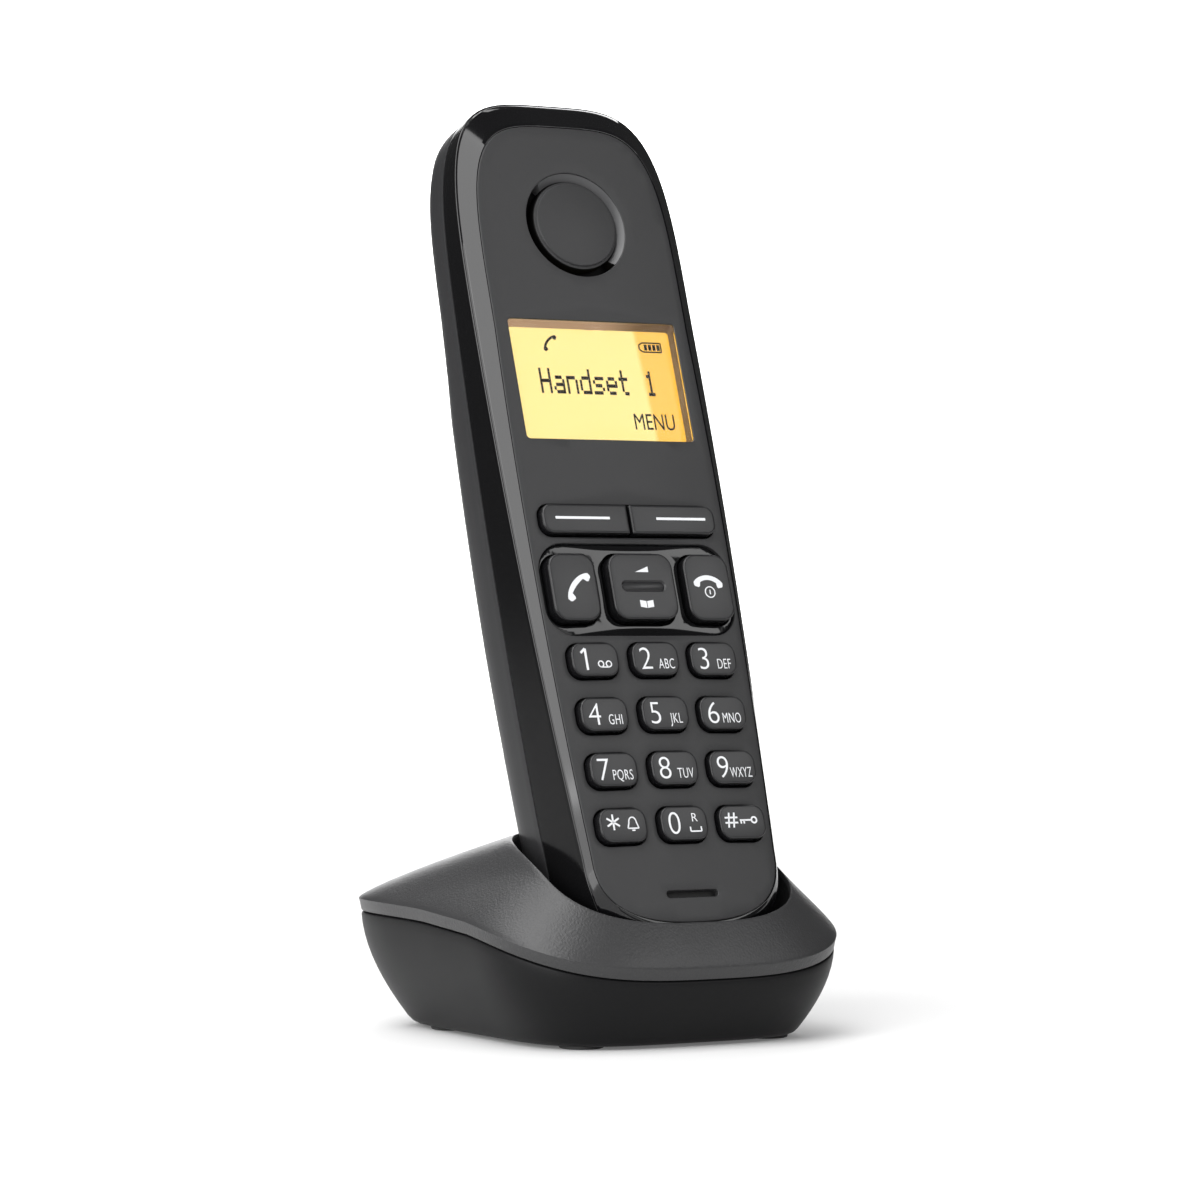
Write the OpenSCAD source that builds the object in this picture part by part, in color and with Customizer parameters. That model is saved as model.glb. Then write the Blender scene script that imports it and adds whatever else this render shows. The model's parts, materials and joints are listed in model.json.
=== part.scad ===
// Cordless telephone standing in its charging base.
// The frame stands on the floor at z = 0, the keys face -Y, and x = 0 is the plane of symmetry.
// Handset pieces are drawn in the handset's own frame: x across, y into its depth, z up its face.

/* [Handset] */
// Length of the handset along its face
handset_len = 155.5; // [154:0.5:157]
// Greatest width of the handset
handset_w = 44; // [43.5:0.1:45]
// Greatest thickness of the handset
handset_t = 25; // [24.6:0.1:25.4]
// Thickness lost from the battery bay to the upper end
top_thinning = 6.5; // [5.5:0.5:7]
// Lean of the handset from upright, in degrees
lean = 18.7; // [18.2:0.1:19.2]
// Radius of the front face's curve from side to side
face_r = 219; // [200:1:260]
// Wall of the housings
wall = 1.6; // [1.4:0.1:1.7]
// Thickness of the matte plate on the front
plate_t = 1.2; // [1:0.1:1.3]

/* [Keys] */
// Distance between the columns of number keys
key_pitch_x = 11.6; // [11.4:0.1:12]
// Distance between the rows of number keys
key_pitch_v = 9.6; // [9.4:0.1:9.8]
// Height of the lowest row of number keys on the face
key_row_v = 23.1; // [22.5:0.1:24]
// Width of a number key
key_w = 9; // [8.4:0.1:9.2]
// Height of a number key
key_h = 5.9; // [5.4:0.1:6.2]
// How far the number keys stand proud of the face
key_proud = 1.3; // [0.8:0.1:1.6]
// Travel of every key that presses in
key_travel = 0.6; // [0.4:0.1:0.7]
// Distance from the centre line to the talk key and to the end key
call_key_x = 13.2; // [13:0.1:13.4]
// Height of the talk, navigation and end keys on the face
call_key_v = 64.7; // [64.2:0.1:65.2]
// Height of the display keys on the face
soft_key_v = 77; // [76.5:0.1:77.5]

/* [Display and sound] */
// Width of the display window
window_w = 33.2; // [32:0.2:34]
// Height of the display window
window_h = 21.9; // [21:0.1:22.4]
// Height of the window's centre on the face
window_v = 102.8; // [102:0.1:103.5]
// Height of the earpiece's centre on the face
ear_v = 131.6; // [131:0.1:132.4]
// Outer radius of the earpiece's ring slot
ear_r = 9.75; // [9:0.05:10]
// Radius of the disc inside the ring slot
ear_disc_r = 7.9; // [7.5:0.1:8.2]

/* [Base] */
// Greatest width of the base
base_w = 66.6; // [66:0.1:68]
// Greatest depth of the base
base_d = 75; // [74.8:0.1:76]
// Height of the belt line at the back
belt_back_z = 22.1; // [21.8:0.1:23]
// Height of the belt line at the front
belt_front_z = 13.4; // [13:0.1:14]
// Height of the seam below the belt line
belt_h = 2.3; // [2.2:0.1:2.6]
// Width of the cradle's mouth
mouth_w = 46; // [45.4:0.1:47]
// Height of the mouth's edge at the back
mouth_back_z = 34.5; // [34:0.1:35.5]
// Height of the mouth's edge at the front
mouth_front_z = 20.7; // [20.4:0.1:21]

/* [Hidden] */

$fn = 48;
half_w = handset_w / 2;
// Place of the handset's lower front edge
dock = [0, -34.5, 14.5];
// Height on the face where the handset is widest, and how fast it narrows below that
widest_v = 112;
side_curve = 3.6e-4;
// Exponent of the rounded upper end
end_exponent = 3.9;
// Height where the rounded lower end begins, and its exponent
low_end_v = 18;
low_exponent = 2.3;
// Radius of the two long back edges and of the edge between the face and the lower end
back_corner_r = 8;
low_edge_r = 5.5;
// Lines of the edge strips: along the side, round the lower corner and round the upper corner
side_bow = 1;
side_line = [side_half(0) + side_bow, 0, atan(side_curve * widest_v)];
low_line = [13.9, 4.7, 45];
top_line = [18.75, 147.7, -27.1];
// Width of the ledge that carries the plate
ledge_w = 0.7;
// Bevel round the face: depth of its outer edge, rise and width
bevel_foot_t = 3.2;
bevel_rise = 2.4;
bevel_w = 2.1;
// Height at which the handset is thickest
thick_v = 45;
// Matte plate: greatest width and its height, ends, and the height where its rounded upper end begins
plate_w = 39;
plate_wide_v = 84;
plate_low_v = 5.5;
plate_top_v = 150.5;
plate_end_v = 121;
// Display keys: distance from the centre line, and width
soft_key_x = 8.6;
soft_key_w = 16.8;
// Clearance round a key, and gap of the thin seams
key_gap = 0.3;
seam_gap = 0.2;
// Layers behind the face, as depths
flange_t = 2.0;
mat_t = flange_t + 0.7 + key_travel + 0.3;
nav_pivot_t = 2.6;
board_t = 4.8;
board_h = 1;
// Place of the charge contacts, and size of the pads that they touch
contact_x = 7;
contact_t = 9;
pad_w = 3.6;
pad_d = 6;
pad_top_v = 1.7;
// Cells
cell_r = 5.25;
cell_len = 44.5;
cell_t = 16.2;
cell_v = 70.5;
// Battery bay and its cover
bay_w = 24.4;
bay_v0 = 43.5;
bay_v1 = 97.5;
// Ends of the block that holds the bay and joins it to the skin above and below the cover
bay_block_v0 = 40.8;
bay_block_v1 = 103;
cover_w = 26.8;
cover_v0 = 42.4;
cover_v1 = 101.6;
// Half length of the round lug at the cover's lower edge
cover_lug_x = 12.5;
// Underside plane of the base, above the floor by the height of the feet
under_z = 0.5;
floor_t = 1.8;
ring_n = 72;
// Connector bay in the back of the base
port_w = 32;
port_y0 = 11;
port_top = 11.8;
port_wall = 1.2;
// Circuit board of the base
base_board_z = 13.7;

// ---- curves ----

function side_half(v) = half_w - side_curve * pow(widest_v - v, 2);
function back_depth(v) = handset_t - (v > thick_v ? top_thinning * pow((v - thick_v) / 100, 2) : 0);
function seam_depth(v) = 12.8 - 0.052 * (v - 40);
function crown(u) = u * u / (2 * face_r);
function mirrored(pts) = concat(pts, [for (i = [len(pts) - 1 : -1 : 0]) [-pts[i][0], pts[i][1]]]);
function power(c, p) = sign(c) * pow(abs(c), 2 / p);

// A rounded end that runs from the side at height v0 to the middle at height v1
function side_to_end(w, v0, v1, p) =
    [for (a = [0 : 6 : 90]) [w * power(cos(a), p), v0 + (v1 - v0) * power(sin(a), p)]];
function reversed(pts) = [for (i = [len(pts) - 1 : -1 : 0]) pts[i]];

// Right half of the handset's outline on its face, drawn in by e
function right_outline(e) = concat(
    reversed(side_to_end(side_half(low_end_v) - e, low_end_v, e, low_exponent)),
    [for (v = [28 : 12 : 100]) [side_half(v) - e, v]],
    side_to_end(half_w - e, widest_v, handset_len - e, end_exponent));

// Right half of the matte plate's outline, drawn in by e
function plate_half(v) = plate_w / 2 - (v > plate_wide_v ? 5e-4 : 2.6e-4) * pow(v - plate_wide_v, 2);
function right_plate(e) = concat(
    reversed(side_to_end(plate_half(low_end_v) - e, low_end_v, plate_low_v + e, 2.2)),
    [for (v = [30 : 12 : 114]) [plate_half(v) - e, v]],
    side_to_end(plate_half(plate_end_v) - e, plate_end_v, plate_top_v - e, end_exponent));

// Side view of the handset, drawn in by e, with its front drawn in by f
function side_outline(e, f) = concat(
    [[20, e]],
    [for (a = [0 : 30 : 90]) [low_edge_r * (1 - sin(a)) + f, low_edge_r * (1 - cos(a)) + e]],
    [[f, plate_top_v - e], [bevel_foot_t + f, handset_len - e], [9, handset_len - e]],
    [for (a = [75 : -15 : 15]) [9 + (back_depth(144) - 9 - e) * cos(a), 144 + (handset_len - 144 - e) * sin(a)]],
    [for (v = [140 : -10 : 20]) [back_depth(v) - e, v]],
    [for (a = [0 : -15 : -75]) [20 + (handset_t - 20 - e) * cos(a), 5 + (5 - e) * sin(a)]]);

// Cross-section of the handset's curved face, drawn in by f
function face_section(f) = concat([for (u = [-24 : 2 : 24]) [u, crown(u) + f]], [[24, handset_t], [-24, handset_t]]);

// Cross-section of an edge strip, drawn in by e and in front by f: bevel, side and back corner
function edge_section(e, f) = concat(
    [[-handset_len, -10], [-4 * bevel_w - e, bevel_foot_t - 4 * bevel_rise + f], [-e, bevel_foot_t + f]],
    [for (a = [0 : 15 : 90]) [-back_corner_r + (back_corner_r - e) * cos(a),
        handset_t - back_corner_r + (back_corner_r - e) * sin(a)]],
    [[-handset_len, handset_t - e]]);

function round_rect(w, h, r) = [for (q = [0 : 3]) for (a = [0 : 15 : 90])
    [(q == 0 || q == 3 ? 1 : -1) * (w / 2 - r) + r * cos(a + 90 * q),
     (q < 2 ? 1 : -1) * (h / 2 - r) + r * sin(a + 90 * q)]];

// ---- helpers ----

module in_handset() {
    translate(dock) rotate([-lean, 0, 0]) children();
}

// Extrudes a face outline into the depth, from t0 to t1
module into_depth(t0, t1) {
    translate([0, t1, 0]) rotate([90, 0, 0]) linear_extrude(t1 - t0) children();
}

// Everything inside one edge strip. A line holds a point of the strip on the face, and its turn
module edge_prism(s, line, e, f) {
    mirror([s < 0 ? 1 : 0, 0, 0]) translate([line[0], 0, line[1]]) rotate([0, line[2], 0])
        linear_extrude(3 * handset_len, center = true) polygon(edge_section(e, f));
}

module handset_form(e, f) {
    intersection() {
        into_depth(-1, handset_t + 1) polygon(mirrored(right_outline(e)));
        rotate([90, 0, 90]) linear_extrude(handset_w + 4, center = true) polygon(side_outline(e, f));
        linear_extrude(handset_len) polygon(face_section(f));
        edge_prism(1, side_line, e, f);
        edge_prism(-1, side_line, e, f);
        edge_prism(1, low_line, e, f);
        edge_prism(-1, low_line, e, f);
        edge_prism(1, top_line, e, f);
        edge_prism(-1, top_line, e, f);
    }
}

// A plate that follows the face's curve between depths t0 and t1
module crowned(t0, t1) {
    intersection() {
        into_depth(-3, 6) children();
        linear_extrude(handset_len) polygon(concat(
            [for (u = [-24 : 2 : 24]) [u, crown(u) + t0]],
            [for (u = [24 : -2 : -24]) [u, crown(u) + t1]]));
    }
}

// The space in front of the seam, or behind it
module seam_side(front) {
    far = front ? -5 : handset_t + 5;
    s = front ? -seam_gap / 2 : seam_gap / 2;
    rotate([90, 0, 90]) linear_extrude(handset_w + 6, center = true)
        polygon([[far, -5], [seam_depth(-5) + s, -5],
            [seam_depth(handset_len + 5) + s, handset_len + 5], [far, handset_len + 5]]);
}

module slab(w, h, t0, t1, v) {
    translate([-w / 2, t0, v - h / 2]) cube([w, t1 - t0, h]);
}

module key_body(u, v, w, h, r, proud) {
    translate([u, 0, v]) {
        into_depth(crown(u) - proud, flange_t) polygon(round_rect(w, h, r));
        into_depth(flange_t, flange_t + 0.7) polygon(round_rect(w + 1.2, h + 1.2, r + 0.5));
    }
}

module key_hole(u, v, w, h, r, gap = key_gap) {
    translate([u, 0, v]) into_depth(-5, 8) polygon(round_rect(w + 2 * gap, h + 2 * gap, r + gap));
}

// ---- handset ----

module front_shell() {
    color("#141415") in_handset() difference() {
        intersection() {
            handset_form(0, 0);
            seam_side(true);
        }
        handset_form(wall, plate_t + 1.2);
        crowned(-2, plate_t) polygon(mirrored(right_plate(0)));
        into_depth(-2, 8) polygon(mirrored(right_plate(ledge_w)));
        for (s = [-1, 1]) pad_space(s);
    }
}

module face_plate() {
    color("#37373a") in_handset() difference() {
        crowned(0, plate_t) polygon(mirrored(right_plate(0.05)));
        translate([0, 0, window_v]) into_depth(-5, 8) polygon(round_rect(window_w, window_h, 1));
        translate([0, 0, ear_v]) into_depth(-5, 8) circle(ear_r);
        translate([0, 0, 11.3]) into_depth(-5, 8) polygon(round_rect(9.4, 1.4, 0.65));
        translate([0, 0, soft_key_v]) into_depth(-5, 8) polygon(round_rect(34.6, 5.9, 1.8));
        translate([0, 0, call_key_v]) into_depth(-5, 8) polygon(round_rect(37.2, 16.4, 5));
        for (row = [0 : 3]) for (col = [-1 : 1])
            key_hole(col * key_pitch_x, key_row_v + row * key_pitch_v, key_w, key_h, 2);
    }
}

module rear_shell() {
    color("#232325") in_handset() difference() {
        union() {
            intersection() {
                difference() {
                    handset_form(0, 0);
                    handset_form(wall, plate_t + 1.2);
                }
                seam_side(false);
            }
            intersection() {
                translate([-bay_w / 2 - 1.2, cell_t - cell_r - 1.6, bay_block_v0])
                    cube([bay_w + 2.4, 20, bay_block_v1 - bay_block_v0]);
                handset_form(wall - 0.2, plate_t + 1.2);
            }
        }
        translate([-bay_w / 2, cell_t - cell_r - 0.6, bay_v0]) cube([bay_w, 20, bay_v1 - bay_v0]);
        cover_cut(0.2);
    }
}

module cover_cut(g) {
    translate([-cover_w / 2 - g, handset_t - 6, cover_v0 - g])
        cube([cover_w + 2 * g, 12, cover_v1 - cover_v0 + 2 * g]);
}

module battery_cover() {
    color("#232325") in_handset() union() {
        intersection() {
            difference() {
                handset_form(0, 0);
                handset_form(wall, 0);
            }
            translate([-cover_w / 2, handset_t - 6, cover_v0 + wall / 2])
                cube([cover_w, 12, cover_v1 - cover_v0 - wall / 2]);
        }
        translate([0, handset_t - wall / 2, cover_v0 + wall / 2]) rotate([0, 90, 0])
            cylinder(h = 2 * cover_lug_x, r = wall / 2, center = true);
    }
}

module display_lens() {
    color([0.9, 0.85, 0.75, 0.4]) in_handset() crowned(0.05, 0.9)
        translate([0, window_v]) polygon(round_rect(window_w - 0.2, window_h - 0.2, 0.9));
}

module lcd_module() {
    color("#f2b63c") in_handset() slab(36, 26, 2.6, 3.9, window_v);
}

module light_guide() {
    color("#fff3d0") in_handset() slab(35, 25, 3.9, 4.7, window_v);
}

module earpiece_disc() {
    color("#37373a") in_handset() translate([0, 0, ear_v]) difference() {
        union() {
            into_depth(0.05, plate_t + 1.4) circle(ear_disc_r);
            into_depth(plate_t + 0.3, plate_t + 1.4) circle(ear_r + 1.8);
        }
        for (a = [30 : 60 : 330]) rotate([0, a, 0]) translate([ear_disc_r + 0.9, 0, 0])
            into_depth(-1, 8) circle(0.6);
    }
}

module earpiece_speaker() {
    color("#8a8a8c") in_handset() translate([0, 0, ear_v]) into_depth(plate_t + 1.45, board_t - 0.1) circle(8);
}

module key_panel() {
    color("#0b0b0c") in_handset() difference() {
        crowned(0.5, 1.2) translate([0, call_key_v]) polygon(round_rect(37, 16.2, 4.9));
        key_hole(-call_key_x, call_key_v, 9, 12, 2.6);
        key_hole(call_key_x, call_key_v, 9, 12, 2.6);
        key_hole(0, call_key_v, 12.6, 11.8, 2.6, 0.45);
    }
}

module soft_key(s) {
    color("#1c1c1e") in_handset() intersection() {
        key_body(s * soft_key_x, soft_key_v, soft_key_w, 5.3, 1.5, 0.9);
        translate([s * (10 + soft_key_x - soft_key_w / 2), 0, 0]) slab(20, 10, -5, 5, soft_key_v);
    }
}

module soft_key_left() { soft_key(-1); }
module soft_key_right() { soft_key(1); }

module talk_key() { color("#1c1c1e") in_handset() key_body(-call_key_x, call_key_v, 9, 12, 2.6, 1.4); }
module end_key() { color("#1c1c1e") in_handset() key_body(call_key_x, call_key_v, 9, 12, 2.6, 1.4); }

module nav_key() {
    color("#1c1c1e") in_handset() translate([0, 0, call_key_v]) {
        into_depth(-1.4, flange_t) polygon(round_rect(12.6, 11.8, 2.6));
        translate([0, nav_pivot_t, 0]) rotate([0, 90, 0]) cylinder(h = 10, r = 0.8, center = true);
    }
}

module number_key(col, row) {
    color("#1c1c1e") in_handset()
        key_body(col * key_pitch_x, key_row_v + row * key_pitch_v, key_w, key_h, 2, key_proud);
}

module key_1() { number_key(-1, 3); }
module key_2() { number_key(0, 3); }
module key_3() { number_key(1, 3); }
module key_4() { number_key(-1, 2); }
module key_5() { number_key(0, 2); }
module key_6() { number_key(1, 2); }
module key_7() { number_key(-1, 1); }
module key_8() { number_key(0, 1); }
module key_9() { number_key(1, 1); }
module key_star() { number_key(-1, 0); }
module key_0() { number_key(0, 0); }
module key_hash() { number_key(1, 0); }

module keypad_mat() {
    color("#9a9a9c") in_handset() slab(34, 64, mat_t, mat_t + 1, 50);
}

module main_board() {
    color("#1f5d37") in_handset() intersection() {
        into_depth(board_t, board_t + board_h) polygon(mirrored(right_outline(3.2)));
        slab(60, 138, 0, 10, 76);
    }
}

module shield_can() {
    color("silver") in_handset() slab(24, 22, board_t + board_h, board_t + board_h + 2.2, 120);
}

module handset_antenna() {
    color("gold") in_handset() difference() {
        slab(22, 6, board_t + board_h, board_t + board_h + 1.6, 139);
        slab(18, 2.5, board_t, board_t + 4, 137.5);
    }
}

module microphone() {
    color("silver") in_handset() translate([0, 0, 11.3]) into_depth(2.7, board_t) circle(2.6);
}

module ringer_speaker() {
    color("#8a8a8c") in_handset() translate([0, 0, 122]) into_depth(14.6, 18.4) circle(8);
}

module battery(s) {
    color("#c9ccd0") in_handset() translate([s * (cell_r + 0.5), cell_t, cell_v - cell_len / 2]) {
        cylinder(h = cell_len - 1, r = cell_r);
        if (s < 0) translate([0, 0, cell_len - 1]) cylinder(h = 1, r = 1.9);
        if (s > 0) translate([0, 0, -1]) cylinder(h = 1, r = 1.9);
    }
}

module battery_left() { battery(-1); }
module battery_right() { battery(1); }

module battery_contacts() {
    color("silver") in_handset() {
        for (s = [-1, 1]) for (end = [bay_v0 + 0.1, bay_v1 - 0.5])
            translate([s * (cell_r + 0.5) - 4.5, cell_t - 4.5, end]) cube([9, 9, 0.4]);
        for (k = [0 : 2]) {
            translate([-cell_r - 0.5, cell_t, bay_v0 + 1.1 + k]) rotate_extrude() translate([2.6 - 0.3 * k, 0]) circle(0.4);
            translate([cell_r + 0.5, cell_t, bay_v1 - 1.1 - k]) rotate_extrude() translate([2.6 - 0.3 * k, 0]) circle(0.4);
        }
    }
}

// Pocket of a charge pad in the lower end
module pad_space(s) {
    translate([s * contact_x - pad_w / 2, contact_t - pad_d / 2, -1]) cube([pad_w, pad_d, 1 + pad_top_v]);
}

// The pad's outer face follows the rounded lower end
module charge_pad(s) {
    intersection() {
        handset_form(0, 0);
        pad_space(s);
    }
}

module charge_pad_left() { color("#c8c4b8") in_handset() charge_pad(-1); }
module charge_pad_right() { color("#c8c4b8") in_handset() charge_pad(1); }

// ---- base ----

function mix(a, b, s) = a + (b - a) * s;

// A closed outline: half width, front, back and widest y, and the exponents of its two halves
function plan(o, a) = let (s = sin(a), p = s < 0 ? o[4] : o[5])
    [o[0] * power(cos(a), p), o[3] + (s < 0 ? o[3] - o[1] : o[2] - o[3]) * power(s, p)];
function inset(o, e) = [o[0] - e, o[1] + e, o[2] - e, o[3], o[4], o[5]];

belt = [base_w / 2, -base_d / 2, base_d / 2, -12.5, 3, 6.2];
foot = [25.6, -32.6, 28.5, -6.5, 3.7, 6];
mouth = [mouth_w / 2, -33.7, 2, -20.5, 2.85, 2.9];
belt_drop = belt_back_z - belt_front_z;
mouth_drop = mouth_back_z - mouth_front_z;

function belt_z(y) = belt_back_z - belt_drop * pow(max(0, (belt[2] - y) / base_d), 4.5);
function mouth_z(y) = mouth_back_z - mouth_drop * pow(max(0, (mouth[2] - y) / (mouth[2] - mouth[1])), 1.9);

// Points of the top shell: the belt, the rim of the mouth and the floor of the well
function belt_point(a, e, drop) = let (q = plan(inset(belt, e), a)) [q[0], q[1], belt_z(q[1]) - drop];
function mouth_point(a, e, drop) = let (q = plan(inset(mouth, -e), a)) [q[0], q[1], mouth_z(q[1]) - drop];
// The well's wall is thinner in front, where it comes close to the belt
function well_point(a, e) = let (q = plan([17.2 + e, 0.5 - e / 8, handset_t + 0.9 + e, handset_t / 2, 4, 6], a))
    in_world([q[0], q[1], -0.8 - e]);
function in_world(q) = [q[0], dock[1] + q[1] * cos(lean) + q[2] * sin(lean),
    dock[2] - q[1] * sin(lean) + q[2] * cos(lean)];
function between(p, q, s) = [mix(p[0], q[0], s), mix(p[1], q[1], s), mix(p[2], q[2], pow(s, 0.85))];

function ring(f) = [for (i = [0 : ring_n - 1]) f(i * 360 / ring_n)];
top_steps = [0.25, 0.5, 0.75, 0.95];

function top_shell_rings() = concat(
    [ring(function (a) belt_point(a, 0.4, belt_h - 0.15)), ring(function (a) belt_point(a, 0, 0))],
    [for (s = top_steps) ring(function (a) between(belt_point(a, 0, 0), mouth_point(a, 0, 0), s))],
    [ring(function (a) mouth_point(a, 0, 0.3)), ring(function (a) mouth_point(a, -0.3, 1)),
     ring(function (a) well_point(a, 0))]);

function top_shell_inner() = concat(
    [ring(function (a) well_point(a, wall)), ring(function (a) mouth_point(a, 1.2, 2.4))],
    [for (i = [3 : -1 : 0]) ring(function (a) between(belt_point(a, wall, 1.2), mouth_point(a, 1.2, 1.9), top_steps[i]))],
    [ring(function (a) belt_point(a, wall, 1.2)), ring(function (a) belt_point(a, wall + 0.4, belt_h - 0.15))]);

// Rings of the bottom shell flare out from the underside to the seam
function flare_point(a, e, s, z0) = let (f = pow(1 - s, 1.75), b = plan(inset(belt, e + 0.4), a),
    g = plan(inset(foot, e), a), x = mix(b[0], g[0], f), y = mix(b[1], g[1], f))
    [x, y, mix(z0, belt_z(b[1]) - belt_h - 0.15, s)];
flare_steps = [0, 0.1, 0.2, 0.35, 0.5, 0.65, 0.8, 1];

function bottom_shell_outer() = [for (s = flare_steps) ring(function (a) flare_point(a, 0, s, under_z))];
function bottom_shell_inner() = [for (i = [7 : -1 : 0])
    ring(function (a) flare_point(a, wall + 0.2, flare_steps[i], under_z + floor_t))];

// A closed solid through a list of rings, capped at its first ring and at its last
module lofted(rings) {
    n = len(rings[0]);
    m = len(rings);
    polyhedron(
        points = [for (r = rings) for (p = r) p],
        faces = concat(
            [[for (i = [0 : n - 1]) i]],
            [for (k = [0 : m - 2]) for (i = [0 : n - 1]) let (j = (i + 1) % n)
                each [[k * n + i, (k + 1) * n + i, k * n + j], [k * n + j, (k + 1) * n + i, (k + 1) * n + j]]],
            [[for (i = [n - 1 : -1 : 0]) (m - 1) * n + i]]));
}

// A closed skin whose last ring joins its first
module skin(rings) {
    n = len(rings[0]);
    m = len(rings);
    polyhedron(
        points = [for (r = rings) for (p = r) p],
        faces = [for (k = [0 : m - 1]) for (i = [0 : n - 1]) let (j = (i + 1) % n, l = (k + 1) % m)
            each [[k * n + i, l * n + i, k * n + j], [k * n + j, l * n + i, l * n + j]]]);
}

module base_top_shell() {
    outer = top_shell_rings();
    inner = top_shell_inner();
    color("#2e2e30") difference() {
        top_shell_solid(outer, inner);
        in_handset() for (s = [-1, 1]) translate([s * contact_x - 1.5, contact_t - 2.4, -4]) cube([3, 4.8, 5]);
    }
}

// The shell runs from the middle of the well's floor over the rim to the seam, and back underneath
module top_shell_solid(outer, inner) {
    n = ring_n;
    rings = concat(outer, inner);
    centres = [in_world([0, handset_t / 2, -0.8]), in_world([0, handset_t / 2, -0.8 - wall])];
    top = len(outer) - 1;
    low = len(outer);
    m = len(rings);
    c = m * n;
    polyhedron(
        points = concat([for (r = rings) for (p = r) p], centres),
        faces = concat(
            [for (k = [0 : m - 1]) if (k != top) for (i = [0 : n - 1]) let (j = (i + 1) % n, l = (k + 1) % m)
                each [[k * n + i, l * n + i, k * n + j], [k * n + j, l * n + i, l * n + j]]],
            [for (i = [0 : n - 1]) [top * n + i, c, top * n + (i + 1) % n]],
            [for (i = [0 : n - 1]) [low * n + (i + 1) % n, c + 1, low * n + i]]));
}

module base_bottom_shell() {
    color("#1d1d1f") difference() {
        union() {
            lofted(concat(bottom_shell_outer(), bottom_shell_inner()));
            port_housing();
        }
        translate([-port_w / 2, port_y0, -1]) cube([port_w, 40, port_top + 1]);
        translate([-14.6, 5, 2.45]) cube([13.2, 10, 9.25]);
        translate([2.9, 5, 2.45]) cube([10.7, 10, 9.25]);
        translate([19, 1, 0]) cylinder(h = 5, r = 4.3);
        for (s = [-1, 1]) {
            translate([s * 18, -25, 0]) cylinder(h = 1.7, r = 3.8);
            translate([s * 21, 14, 0]) cylinder(h = 1.7, r = 3.8);
        }
    }
}

// Walls of the connector bay; its back slope lies inside the shell's own wall
module port_housing() {
    rotate([90, 0, 90]) linear_extrude(port_w + 2 * port_wall, center = true)
        polygon([[port_y0 - port_wall, 1], [28.2, 1], [35, port_top + port_wall], [port_y0 - port_wall, port_top + port_wall]]);
}

module charge_contact(s) {
    color("#d8c070") in_handset() translate([s * contact_x, contact_t, 0]) {
        translate([-1.1, -1.9, -3.4]) cube([2.2, 3.8, 3.65]);
        translate([-1.8, -2.6, -4]) cube([3.6, 5.2, 0.6]);
    }
}

module charge_contact_left() { charge_contact(-1); }
module charge_contact_right() { charge_contact(1); }

module base_board() {
    color("#1f5d37") translate([-22, -1.5, base_board_z]) cube([44, 32, 1.5]);
}

module base_shield() {
    color("silver") translate([-11, 6, base_board_z + 1.5]) cube([22, 16, 2.8]);
}

module base_antennas() {
    color("gold") for (s = [-1, 1]) translate([s * 20 - 0.4, 2, base_board_z + 1.5]) difference() {
        cube([0.8, 24, 5]);
        translate([-1, 3, 0]) cube([3, 18, 3]);
    }
}

// A modular socket whose mouth faces the connector bay
module jack(x0, w, mouth_z0, mouth_w, mouth_h, depth) {
    difference() {
        union() {
            translate([x0, -1, 2.4]) cube([w, port_y0 - port_wall + 0.95, base_board_z - 2.4]);
            translate([x0, 5, 2.5]) cube([w, port_y0 - 5, 9.1]);
        }
        translate([x0 + (w - mouth_w) / 2, port_y0 - depth, mouth_z0]) cube([mouth_w, depth + 1, mouth_h]);
    }
}

module line_jack() { color("#111111") jack(-14.5, 13, 3.6, 9.8, 7.2, 9.5); }
module power_jack() { color("#111111") jack(3, 10.5, 4, 7.4, 6, 8.5); }

module page_key() {
    color("#1c1c1e") translate([19, 1, 0]) {
        translate([0, 0, 0.9]) cylinder(h = 2.2, r = 4);
        translate([0, 0, 2.4]) cylinder(h = 0.8, r = 4.8);
        translate([0, 0, 3.1]) cylinder(h = 6.5, r = 1.75);
    }
}

module page_switch() {
    color("silver") translate([16, -2 + 0.6, 10.4]) cube([5.8, 4.8, base_board_z - 10.4]);
}

module rubber_feet() {
    color("#3a3a3a") for (s = [-1, 1]) {
        translate([s * 18, -25, 0]) cylinder(h = 1.65, r = 3.75);
        translate([s * 21, 14, 0]) cylinder(h = 1.65, r = 3.75);
    }
}

front_shell();
face_plate();
rear_shell();
battery_cover();
display_lens();
lcd_module();
light_guide();
earpiece_disc();
earpiece_speaker();
key_panel();
soft_key_left();
soft_key_right();
talk_key();
nav_key();
end_key();
key_1();
key_2();
key_3();
key_4();
key_5();
key_6();
key_7();
key_8();
key_9();
key_star();
key_0();
key_hash();
keypad_mat();
main_board();
shield_can();
handset_antenna();
microphone();
ringer_speaker();
battery_left();
battery_right();
battery_contacts();
charge_pad_left();
charge_pad_right();
base_top_shell();
base_bottom_shell();
charge_contact_left();
charge_contact_right();
base_board();
base_shield();
base_antennas();
line_jack();
power_jack();
page_key();
page_switch();
rubber_feet();
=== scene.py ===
"""Looks of a cordless telephone in its charging base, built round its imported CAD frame."""
import json
import math
from functools import partial

import bmesh
import bpy
import numpy as np
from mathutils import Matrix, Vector
from mathutils.geometry import delaunay_2d_cdt


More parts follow.
